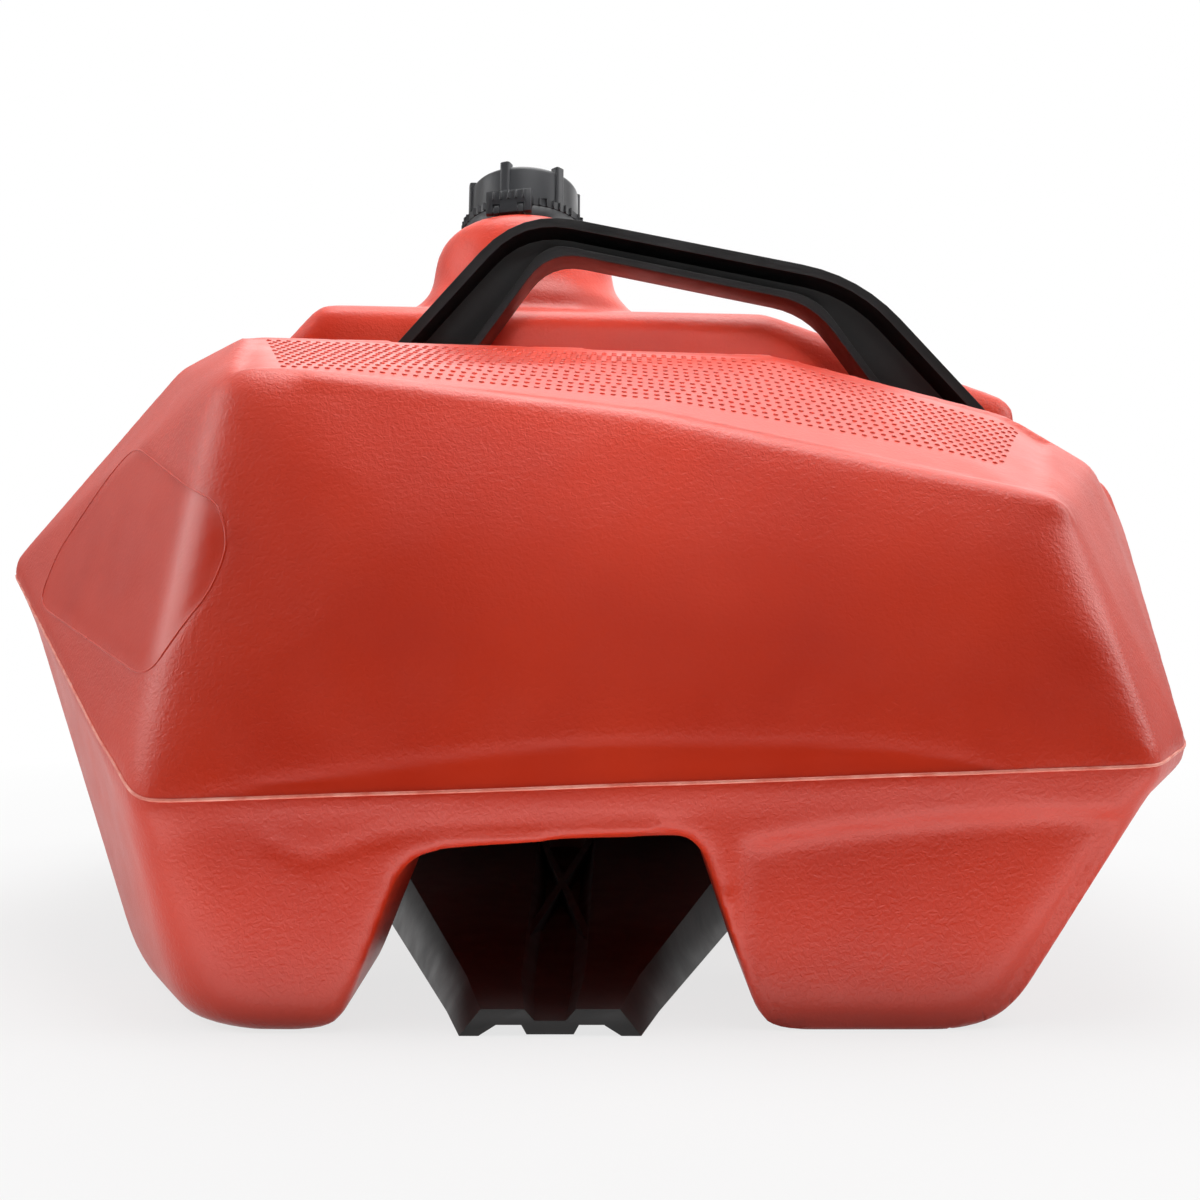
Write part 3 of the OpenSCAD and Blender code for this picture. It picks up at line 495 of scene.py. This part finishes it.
def markZones(tank):
    # sinks the zones into the skin, and notes how much mould grain each point keeps
    eye = Vector(cameraSet["place"])
    mesh = tank.data
    grain = mesh.attributes.new("grain", "FLOAT", "POINT")
    values, moves = [], []
    for vert in mesh.vertices:
        polish, sink = 0.0, 0.0
        normal = vert.normal
        facing = normal.dot((eye - vert.co).normalized())
        if vert.co.y < frontSet["rear"] and facing > 0:
            spot = photoPixel(vert.co)
            turned = smoothStep(facing, *frontSet["facing"])
            for zone in zoneSet.values():
                share = smoothStep(outlineDepth(spot, zone["outline"]), *zone["blend"])
                sink = max(sink, share * turned * zone["depth"])
                polish = max(polish, share * zone["polish"])
        if normal.z > panelSet["upright"] and vert.co.y < panelSet["rear"]:
            share = smoothStep(outlineDepth(vert.co.xy, panelSet["plan"]), *panelSet["blend"])
            polish = max(polish, share * panelSet["polish"])
            sink = max(sink, share * panelSet["depth"])
        values.append(1.0 - polish)
        moves.append(normal * -sink)
    grain.data.foreach_set("value", values)
    for vert, move in zip(mesh.vertices, moves):
        vert.co += move
    mesh.update()


tank = tankSkin()
softenTank(tank)
markZones(tank)
print("tank skin", len(tank.data.polygons))
tankTree = BVHTree.FromObject(tank, bpy.context.evaluated_depsgraph_get())
finishPiece(tank, "tank", tankRed, ["tank_shell"])


def spinProfile(name, profile, steps, matrix):
    # a closed ring of sections round the local z axis, profile given as radius and height
    work = bmesh.new()
    rings = [[work.verts.new((r * math.cos(a), r * math.sin(a), z)) for r, z in profile]
             for a in (2 * math.pi * k / steps for k in range(steps))]
    count = len(profile)
    for k in range(steps):
        ring, after = rings[k], rings[(k + 1) % steps]
        for i in range(count):
            work.faces.new((ring[i], after[i], after[(i + 1) % count], ring[(i + 1) % count]))
    bmesh.ops.recalc_face_normals(work, faces=work.faces)
    bmesh.ops.transform(work, matrix=matrix, verts=work.verts)
    return linkWork(name, work)


spoutSet = {
    "radius": 0.027, "bore": 0.0225, "height": 0.030, "root": -0.003, "edge": 0.0008,
    "steps": 72, "sharpAngle": 35,
    "threadLow": 0.010, "threadHigh": 0.026, "threadPitch": 0.005,
    "threadBead": 0.0012, "threadProud": 0.0004, "threadSteps": 48,
}


def makeSpout():
    out, bore, edge = spoutSet["radius"], spoutSet["bore"], spoutSet["edge"]
    low, high = spoutSet["root"], spoutSet["height"]
    profile = [(bore, low), (out, low), (out, high - edge), (out - edge, high), (bore + edge, high),
               (bore, high - edge)]
    spout = spinProfile("fillerSpout", profile, spoutSet["steps"], neckFrame)
    smoothByAngle(spout, spoutSet["sharpAngle"])
    finishPiece(spout, "tank", tankRed)


makeSpout()


def setInputs(piece, tree, values):
    modifier = piece.modifiers.new(tree.name, "NODES")
    modifier.node_group = tree
    for item in tree.interface.items_tree:
        if item.item_type == "SOCKET" and item.in_out == "INPUT" and item.name in values:
            modifier[item.identifier] = values[item.name]


def newTree(name, inputs):
    tree = bpy.data.node_groups.new(name, "GeometryNodeTree")
    tree.interface.new_socket("Geometry", in_out="INPUT", socket_type="NodeSocketGeometry")
    for label, kind in inputs:
        tree.interface.new_socket(label, in_out="INPUT", socket_type=kind)
    tree.interface.new_socket("Geometry", in_out="OUTPUT", socket_type="NodeSocketGeometry")
    return tree, addNode(tree, "NodeGroupInput")


def endTree(tree, geometry, materialSocket):
    real = addNode(tree, "GeometryNodeRealizeInstances", links={"Geometry": geometry})
    dressed = addNode(tree, "GeometryNodeSetMaterial",
                      links={"Geometry": real.outputs[0], "Material": materialSocket})
    addNode(tree, "NodeGroupOutput", links={"Geometry": dressed.outputs[0]})


beadSet = {"sides": 8, "sharpAngle": 70}


def beadTree():
    # a thin round bead along the edges of a path
    tree, given = newTree("surfaceBead", [("Bead Radius", "NodeSocketFloat"),
                                          ("Finish", "NodeSocketMaterial")])
    path = addNode(tree, "GeometryNodeMeshToCurve", links={"Mesh": given.outputs["Geometry"]})
    ring = addNode(tree, "GeometryNodeCurvePrimitiveCircle", values={"Resolution": beadSet["sides"]},
                   links={"Radius": given.outputs["Bead Radius"]})
    tube = addNode(tree, "GeometryNodeCurveToMesh", values={"Fill Caps": True},
                   links={"Curve": path.outputs[0], "Profile Curve": ring.outputs[0]})
    endTree(tree, tube.outputs[0], given.outputs["Finish"])
    return tree


def layoutTree():
    # one shape set on every point, its z along "facing" and its x along "running"
    tree, given = newTree("shapeOnPoints", [("Shape", "NodeSocketObject"), ("Shape Size", "NodeSocketVector"),
                                            ("Finish", "NodeSocketMaterial")])
    shape = addNode(tree, "GeometryNodeObjectInfo", links={"Object": given.outputs["Shape"]})
    facing, running = (addNode(tree, "GeometryNodeInputNamedAttribute", {"data_type": "FLOAT_VECTOR"},
                               {"Name": label}) for label in ("facing", "running"))
    turn = addNode(tree, "FunctionNodeAxesToRotation", {"primary_axis": "Z", "secondary_axis": "X"},
                   links={"Primary Axis": facing.outputs[0], "Secondary Axis": running.outputs[0]})
    points = addNode(tree, "GeometryNodeMeshToPoints", links={"Mesh": given.outputs["Geometry"]})
    copies = addNode(tree, "GeometryNodeInstanceOnPoints",
                     links={"Points": points.outputs[0], "Instance": shape.outputs["Geometry"],
                            "Rotation": turn.outputs[0], "Scale": given.outputs["Shape Size"]})
    endTree(tree, copies.outputs[0], given.outputs["Finish"])
    return tree


surfaceBead = beadTree()
shapeOnPoints = layoutTree()


def beadAlong(name, points, closed, radius, material):
    # a bead of the tank's own plastic that moves with the tank
    count = len(points)
    edges = [(i, (i + 1) % count) for i in range(count if closed else count - 1)]
    mesh = bpy.data.meshes.new(name)
    mesh.from_pydata(points, edges, [])
    piece = linkObject(name, mesh)
    setInputs(piece, surfaceBead, {"Bead Radius": radius, "Finish": material})
    bakeModifiers(piece)
    smoothByAngle(piece, beadSet["sharpAngle"])
    finishPiece(piece, "tank", material)


def shapesOn(name, places, shape, size, material, sharpAngle):
    # places are rows of position, facing and running
    mesh = bpy.data.meshes.new(name)
    mesh.from_pydata([row[0] for row in places], [], [])
    for label, column in (("facing", 1), ("running", 2)):
        attribute = mesh.attributes.new(label, "FLOAT_VECTOR", "POINT")
        attribute.data.foreach_set("vector", [c for row in places for c in row[column]])
    piece = linkObject(name, mesh)
    setInputs(piece, shapeOnPoints, {"Shape": shape, "Shape Size": size, "Finish": material})
    bakeModifiers(piece)
    smoothByAngle(piece, sharpAngle)
    return piece


def aroundCorners(corners, step):
    # points about a step apart along a closed run of corners
    points = []
    for start, end in zip(corners, corners[1:] + corners[:1]):
        start, end = Vector(start), Vector(end)
        count = max(1, round((end - start).length / step))
        points += [start.lerp(end, i / count) for i in range(count)]
    return points


def settleOnTank(points, rounds):
    # slides a closed path over the tank's skin until it runs smoothly
    points = [tankTree.find_nearest(point)[0] for point in points]
    for turn in range(rounds - 1):
        # each point goes halfway to the middle of its neighbours
        evened = [point * 0.5 + (before + after) * 0.25
                  for before, point, after in zip(points[-1:] + points[:-1], points, points[1:] + points[:1])]
        points = [tankTree.find_nearest(point)[0] for point in evened]
    return points


seamSet = {
    "corners": [(-0.158, -0.240, 0.087), (0.232, -0.234, 0.100), (0.259, -0.178, 0.103),
                (0.279, -0.042, 0.192), (0.236, 0.240, 0.192), (-0.236, 0.240, 0.177),
                (-0.279, -0.020, 0.177)],
    "step": 0.005, "rounds": 6, "beadRadius": 0.0007,
}
seamPath = settleOnTank(aroundCorners(seamSet["corners"], seamSet["step"]), seamSet["rounds"])
# the flash bead takes the paler seam colour, which is a painted highlight
beadAlong("partingFlash", seamPath, True, seamSet["beadRadius"], flashPaintedHighlight)

labelSet = {"step": 0.003, "rounds": 8, "beadRadius": 0.00045}
labelCorners = [tankTree.ray_cast(camera.location, photoRay(pixel))[0]
                for pixel in zoneSet["label"]["outline"]]
labelPath = settleOnTank(aroundCorners(labelCorners, labelSet["step"]), labelSet["rounds"])
beadAlong("labelPanelEdge", labelPath, True, labelSet["beadRadius"], tankRed)


def threadPath():
    # a helix up the spout, most of the bead sunk in its wall
    steps, pitch, low = spoutSet["threadSteps"], spoutSet["threadPitch"], spoutSet["threadLow"]
    turns = (spoutSet["threadHigh"] - low) / pitch
    radius = spoutSet["radius"] + spoutSet["threadProud"] - spoutSet["threadBead"]
    points = []
    for k in range(round(turns * steps) + 1):
        a = 2 * math.pi * k / steps
        height = low + pitch * k / steps
        points.append(neckFrame @ Vector((radius * math.cos(a), radius * math.sin(a), height)))
    return points


beadAlong("spoutThread", threadPath(), False, spoutSet["threadBead"], tankRed)
print("flash, panel edge and thread laid")

stippleSet = {
    "front": ((-0.114, -0.166), (0.190, -0.160)), "rear": ((-0.136, -0.088), (0.214, -0.094)),
    "rows": 15, "spacing": 0.0046,
    "above": 0.5,                     # pips are dropped on the panel from here
    "pip": (0.0013, 0.0009, 0.0006),  # half length, half width and height of one pip
    "pipSides": 8, "pipRings": 5, "sharpAngle": 80,
}


def pipShape():
    work = bmesh.new()
    bmesh.ops.create_uvsphere(work, u_segments=stippleSet["pipSides"], v_segments=stippleSet["pipRings"],
                              radius=1.0)
    return linkWork("pipShape", work)


def stipplePlaces():
    # rows from front to rear, every second one shifted by half a spacing
    places = []
    rows = stippleSet["rows"]
    for k in range(rows):
        left, right = (Vector(front).lerp(Vector(rear), k / (rows - 1))
                       for front, rear in zip(stippleSet["front"], stippleSet["rear"]))
        count = round((right - left).length / stippleSet["spacing"])
        for i in range(count):
            spot = left.lerp(right, (i + 0.5 * (k % 2)) / count)
            point, normal = tankTree.ray_cast((spot.x, spot.y, stippleSet["above"]), (0, 0, -1))[:2]
            if point is not None and normal.z > panelSet["upright"]:
                places.append((point, normal, (1.0, 0.0, 0.0)))
    return places


pip = pipShape()
stipple = shapesOn("panelStipple", stipplePlaces(), pip, stippleSet["pip"], tankRed, stippleSet["sharpAngle"])
bpy.data.objects.remove(pip)
finishPiece(stipple, "tank", tankRed)
print("panel stipple", len(stipple.data.polygons))

edgeSet = {
    "angle": 30,  # edges that turn by more than this get a radius
    "sharpAngle": 38,
}
edgedPieces = {
    "carry_handle": {"name": "carryHandle", "body": "tank", "slot": "black_handle", "finish": handleBlack,
                     "width": 0.0019, "segments": 3},
    "undercarriage": {"name": "undercarriageShell", "body": "tank", "slot": "black_undercarriage",
                      "finish": carriageBlack, "width": 0.0019, "segments": 3},
    "filler_cap": {"name": "fillerCap", "body": "cap", "slot": "black_cap", "finish": capBlack,
                   "width": 0.0006, "segments": 2},
    "tab_collar": {"name": "tabCollar", "body": "tank", "slot": "black_cap", "finish": capBlack,
                   "width": 0.0005, "segments": 2},
    "lock_tab": {"name": "lockTab", "body": "lock_tab", "slot": "black_cap", "finish": capBlack,
                 "width": 0.0004, "segments": 2},
    "axle": {"name": "axleRod", "body": "tank", "slot": "zinc_steel", "finish": zincSteel,
             "width": 0.0008, "segments": 2},
}
for side in ("left", "right"):
    edgedPieces["wheel_hub_" + side] = {
        "name": "hub" + side.capitalize(), "body": "wheel_" + side, "slot": "hub_plastic", "finish": hubBlack,
        "width": 0.0006, "segments": 2}
    edgedPieces["push_cap_" + side] = {
        "name": "pushCap" + side.capitalize(), "body": "tank", "slot": "zinc_steel", "finish": zincSteel,
        "width": 0.0007, "segments": 2}


def makeEdged(nodeName, sizes):
    # moulded and turned pieces get the small corner radii that their making gives them
    piece = mergedCopy(nodeName, sizes["name"])
    bevel = piece.modifiers.new("edges", "BEVEL")
    bevel.width, bevel.segments = sizes["width"], sizes["segments"]
    bevel.limit_method, bevel.angle_limit = "ANGLE", math.radians(edgeSet["angle"])
    bevel.miter_outer = "MITER_ARC"
    bakeModifiers(piece)
    smoothByAngle(piece, edgeSet["sharpAngle"])
    finishPiece(piece, sizes["body"], sizes["finish"], [nodeName])


for nodeName, sizes in edgedPieces.items():
    makeEdged(nodeName, sizes)
print("moulded pieces edged")

tyreSet = {
    "side": 0.205, "axleY": 0.140, "axleZ": 0.075,
    # radius and half width, from the seat on the rim over the shoulder to the tread
    "profile": [(0.06205, 0.0163), (0.06425, 0.0175), (0.06685, 0.0196), (0.0686, 0.0218), (0.0706, 0.0210),
                (0.0722, 0.0175), (0.0728, 0.0145)],
    "steps": 96, "sharpAngle": 40,
    "lugs": 26,        # tread blocks in each of two rows
    "lugRow": 0.0078,  # from the middle of the tyre to the middle of a row
    "lugTop": 0.0749, "lugSize": (0.0150, 0.0062, 0.0042), "lugSlant": 24.0,
    "lugTaper": (0.90, 0.74), "lugEdge": 0.06,  # shares of the block's own size
    "lugSharpAngle": 30,
}


def lugShape():
    # one tread block, narrower on top, standing on its own middle
    work = bmesh.new()
    bmesh.ops.create_cube(work, size=1.0)
    for vert in work.verts:
        if vert.co.z > 0:
            vert.co.x *= tyreSet["lugTaper"][0]
            vert.co.y *= tyreSet["lugTaper"][1]
    bmesh.ops.bevel(work, geom=work.edges[:], offset=tyreSet["lugEdge"], segments=1, affect="EDGES",
                    profile=0.5)
    return linkWork("lugShape", work)


def lugPlaces(middle):
    # two staggered rows of slanted blocks
    places = []
    count = tyreSet["lugs"] * 2
    radius = tyreSet["lugTop"] - tyreSet["lugSize"][2] / 2
    sideways = Vector((1, 0, 0))
    for k in range(count):
        row = 1 if k % 2 else -1
        a = 2 * math.pi * k / count
        out = Vector((0, math.cos(a), math.sin(a)))
        around = Vector((0, -math.sin(a), math.cos(a)))
        slant = math.radians(tyreSet["lugSlant"]) * row
        running = sideways * math.cos(slant) + around * math.sin(slant)
        places.append((middle + out * radius + sideways * row * tyreSet["lugRow"], out, running))
    return places


def makeTyre(side, sign, lug):
    middle = Vector((sign * tyreSet["side"], tyreSet["axleY"], tyreSet["axleZ"]))
    axis = Matrix.Translation(middle) @ Matrix.Rotation(math.radians(90), 4, "Y")
    half = tyreSet["profile"]
    profile = half + [(r, -z) for r, z in reversed(half)]
    tyre = spinProfile("tyre" + side.capitalize(), profile, tyreSet["steps"], axis)
    smoothByAngle(tyre, tyreSet["sharpAngle"])
    blocks = shapesOn("tread" + side.capitalize(), lugPlaces(middle), lug, tyreSet["lugSize"], tyreBlack,
                      tyreSet["lugSharpAngle"])
    finishPiece(tyre, "wheel_" + side, tyreBlack, ["tyre_" + side])
    finishPiece(blocks, "wheel_" + side, tyreBlack)


lug = lugShape()
makeTyre("left", -1, lug)
makeTyre("right", 1, lug)
bpy.data.objects.remove(lug)
print("tyres made")

screwSet = {
    "head": 0.0056, "headHeight": 0.0034,
    # outline of the pan head, as shares of its radius and height
    "headRows": [(1.0, 0.0), (1.0, 0.45), (0.94, 0.72), (0.80, 0.92), (0.62, 1.0)],
    "shank": 0.0029, "shankLength": 0.018, "tip": 0.0006,
    "socket": 0.0023, "socketDepth": 0.0021,
    "steps": 24, "sharpAngle": 32,
}


def screwShape():
    # pan head with a six-sided socket, head seat at z = 0
    head, tall = screwSet["head"], screwSet["headHeight"]
    shank, length, tip = screwSet["shank"], screwSet["shankLength"], screwSet["tip"]
    steps = screwSet["steps"]
    angles = [2 * math.pi * k / steps for k in range(steps)]
    outline = [(shank - tip, -length), (shank, tip - length), (shank, 0.0)]
    outline += [(head * across, tall * up) for across, up in screwSet["headRows"]]
    rows = [([radius] * steps, z) for radius, z in outline]
    halfFlat = math.pi / 6  # half the angle that one flat of the socket takes up
    flats = [screwSet["socket"] * math.cos(halfFlat) / math.cos(a % (2 * halfFlat) - halfFlat)
             for a in angles]
    rows += [(flats, tall), (flats, tall - screwSet["socketDepth"])]
    work = bmesh.new()
    rings = [[work.verts.new((r * math.cos(a), r * math.sin(a), z)) for r, a in zip(radii, angles)]
             for radii, z in rows]
    for low, high in zip(rings, rings[1:]):
        for k in range(steps):
            work.faces.new((low[k], low[(k + 1) % steps], high[(k + 1) % steps], high[k]))
    work.faces.new(rings[0][::-1])
    work.faces.new(rings[-1])
    bmesh.ops.recalc_face_normals(work, faces=work.faces)
    return linkWork("screwShape", work)


def islandBoxes(nodeName):
    # lowest and highest corner of each separate solid in a node
    spare = mergedCopy(nodeName, "spareCopy", flatten=False)
    work = openMesh(spare.data)
    boxes = [[tuple(pick(vert.co[axis] for vert in island) for axis in range(3)) for pick in (min, max)]
             for island in islandsOf(work)]
    work.free()
    bpy.data.objects.remove(spare)
    return sorted(boxes)


screw = screwShape()
for nodeName, pieceName, upward in (("handle_screws_left", "handleScrewsLeft", 1),
                                    ("handle_screws_right", "handleScrewsRight", 1),
                                    ("undercarriage_screws", "undercarriageScrews", -1)):
    places = []
    for low, high in islandBoxes(nodeName):
        seatZ = high[2] - screwSet["headHeight"] if upward > 0 else low[2] + screwSet["headHeight"]
        places.append((((low[0] + high[0]) / 2, (low[1] + high[1]) / 2, seatZ), (0, 0, upward), (1, 0, 0)))
    screws = shapesOn(pieceName, places, screw, (1, 1, 1), zincSteel, screwSet["sharpAngle"])
    finishPiece(screws, "tank", zincSteel, [nodeName])
bpy.data.objects.remove(screw)
print("screws set")

# nodes whose shape is right as it is
plainNodes = {
    "cap_gasket": gasketBlack, "washer_left": zincSteel, "washer_right": zincSteel,
    "handle_inserts_left": insertBrass, "handle_inserts_right": insertBrass,
    "undercarriage_inserts": insertBrass,
    "wheel_bush_left": bushNylon, "wheel_bush_right": bushNylon,
}
for nodeName, finish in plainNodes.items():
    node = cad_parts[nodeName]
    node.data.materials.clear()
    node.data.materials.append(finish)
print("plain nodes dressed")

floorSet = {
    "reach": 6.0, "roughness": 0.9,
    "dark": "#B4B4B4", "light": "#BCBCBC", "patchMm": 300, "patchDetail": 2.0,
    "show": 0.25,          # share of the lit paper, and so of the shadow, that the camera sees
    "edge": (0.40, 0.95),  # where the paper fades into the white background, in metres
}


def sightRays(tree):
    # the camera's own rays, also those through clear pieces, and the rays that a shiny surface sends out
    path = addNode(tree, "ShaderNodeLightPath")
    seen = addNode(tree, "ShaderNodeMath", {"operation": "MAXIMUM"},
                   links={0: path.outputs["Is Camera Ray"], 1: path.outputs["Is Transmission Ray"]})
    return seen.outputs[0], path.outputs["Is Glossy Ray"]


def paperFloor():
    # matt paper that lights the caddy as it is, but is washed out to white where it is seen or mirrored
    material, tree, shader, place = newMaterial("palePaperFloor", floorSet["light"])
    shader.inputs["Roughness"].default_value = floorSet["roughness"]
    paper = mottle(tree, place, floorSet["patchMm"], floorSet["patchDetail"],
                   [linearColour(floorSet["dark"]), linearColour(floorSet["light"])])
    tree.links.new(paper, shader.inputs["Base Color"])
    seen, glossy = sightRays(tree)
    mirrored = addNode(tree, "ShaderNodeMath", {"operation": "MAXIMUM"}, links={0: seen, 1: glossy})
    away = addNode(tree, "ShaderNodeVectorMath", {"operation": "LENGTH"}, links={0: place})
    near, far = floorSet["edge"]
    fade = addNode(tree, "ShaderNodeMapRange",
                   values={"From Min": near, "From Max": far, "To Min": 1 - floorSet["show"], "To Max": 1.0},
                   links={"Value": away.outputs["Value"]})
    share = addNode(tree, "ShaderNodeMath", {"operation": "MULTIPLY"},
                    links={0: mirrored.outputs[0], 1: fade.outputs[0]})
    white = addNode(tree, "ShaderNodeEmission", values={"Color": grey(1.0), "Strength": 1.0})
    blend = addNode(tree, "ShaderNodeMixShader",
                    links={0: share.outputs[0], 1: shader.outputs[0], 2: white.outputs[0]})
    output = next(node for node in tree.nodes if node.type == "OUTPUT_MATERIAL")
    tree.links.new(blend.outputs[0], output.inputs["Surface"])
    return material


def makeFloor():
    reach = floorSet["reach"]
    mesh = bpy.data.meshes.new("studioFloor")
    mesh.from_pydata([(-reach, -reach, 0), (reach, -reach, 0), (reach, reach, 0), (-reach, reach, 0)], [],
                     [(0, 1, 2, 3)])
    mesh.materials.append(paperFloor())
    linkObject("studioFloor", mesh)


skySet = {
    "brightSide": (0, 0.6, 0.8),  # behind and above the caddy, so the camera's side is dimmer
    # how far towards the bright side the light starts and is full, and its strength there
    "soft": {"span": (-0.20, 0.55), "level": (0.0, 0.8)},
    "mirrored": {"span": (0.40, 0.95), "level": (0.05, 1.0)},
}


def makeSky():
    world = bpy.data.worlds.new("studioSky")
    scene.world = world
    world.use_nodes = True
    tree = world.node_tree
    tree.nodes.clear()
    coord = addNode(tree, "ShaderNodeTexCoord")
    tilt = addNode(tree, "ShaderNodeVectorMath", {"operation": "DOT_PRODUCT"}, {1: skySet["brightSide"]},
                   {0: coord.outputs["Generated"]})
    skies = []
    for part in (skySet["soft"], skySet["mirrored"]):
        level = addNode(tree, "ShaderNodeMapRange",
                        values={"From Min": part["span"][0], "From Max": part["span"][1],
                                "To Min": part["level"][0], "To Max": part["level"][1]},
                        links={"Value": tilt.outputs["Value"]})
        skies.append(addNode(tree, "ShaderNodeBackground", values={"Color": grey(1.0)},
                             links={"Strength": level.outputs[0]}))
    seen, glossy = sightRays(tree)
    white = addNode(tree, "ShaderNodeBackground", values={"Color": grey(1.0), "Strength": 1.0})
    lit = addNode(tree, "ShaderNodeMixShader",
                  links={0: glossy, 1: skies[0].outputs[0], 2: skies[1].outputs[0]})
    mix = addNode(tree, "ShaderNodeMixShader", links={0: seen, 1: lit.outputs[0], 2: white.outputs[0]})
    addNode(tree, "ShaderNodeOutputWorld", links={"Surface": mix.outputs[0]})


wideSpread = 3.14  # radians, light to all sides of a softbox
lampSet = {
    "topSoftbox": {"place": (0.1, 0.08, 1.5), "aim": (0, 0, 0.2), "size": (1.3, 1.0), "power": 19.0},
    "backSoftbox": {"place": (0.35, 1.45, 0.95), "aim": (0, -0.1, 0.25), "size": (1.8, 1.8), "power": 10.0},
    "leftSoftbox": {"place": (-1.4, -0.1, 0.8), "aim": (0, 0, 0.2), "size": (1.0, 1.0), "power": 10.0},
    "rightSoftbox": {"place": (1.4, 0.0, 0.9), "aim": (0, 0, 0.2), "size": (1.0, 1.0), "power": 10.0},
    "floorStrip": {"place": (0.08, -0.31, 0.004), "aim": (0.08, -0.30, 1.0), "size": (0.74, 0.10),
                   "power": 0.44},
    # a soft fill on the neck that leaves no glint on the handle
    "neckBox": {"place": (0.1, -0.95, 0.62), "aim": (0.04, -0.02, 0.325), "size": (0.3, 0.3), "power": 0.24,
                "spread": 0.40, "glint": False},
}


def makeLamp(name, sizes):
    lamp = bpy.data.lights.new(name, "AREA")
    lamp.shape, lamp.size, lamp.size_y = "RECTANGLE", *sizes["size"]
    lamp.spread, lamp.energy = sizes.get("spread", wideSpread), sizes["power"]
    holder = bpy.data.objects.new(name, lamp)
    holder.location = sizes["place"]
    holder.visible_camera = False
    holder.visible_glossy = sizes.get("glint", True)
    aim = Vector(sizes["aim"]) - Vector(sizes["place"])
    holder.rotation_euler = aim.to_track_quat("-Z", "Y").to_euler()
    scene.collection.objects.link(holder)


makeFloor()
makeSky()
for name, sizes in lampSet.items():
    makeLamp(name, sizes)
print("studio set")
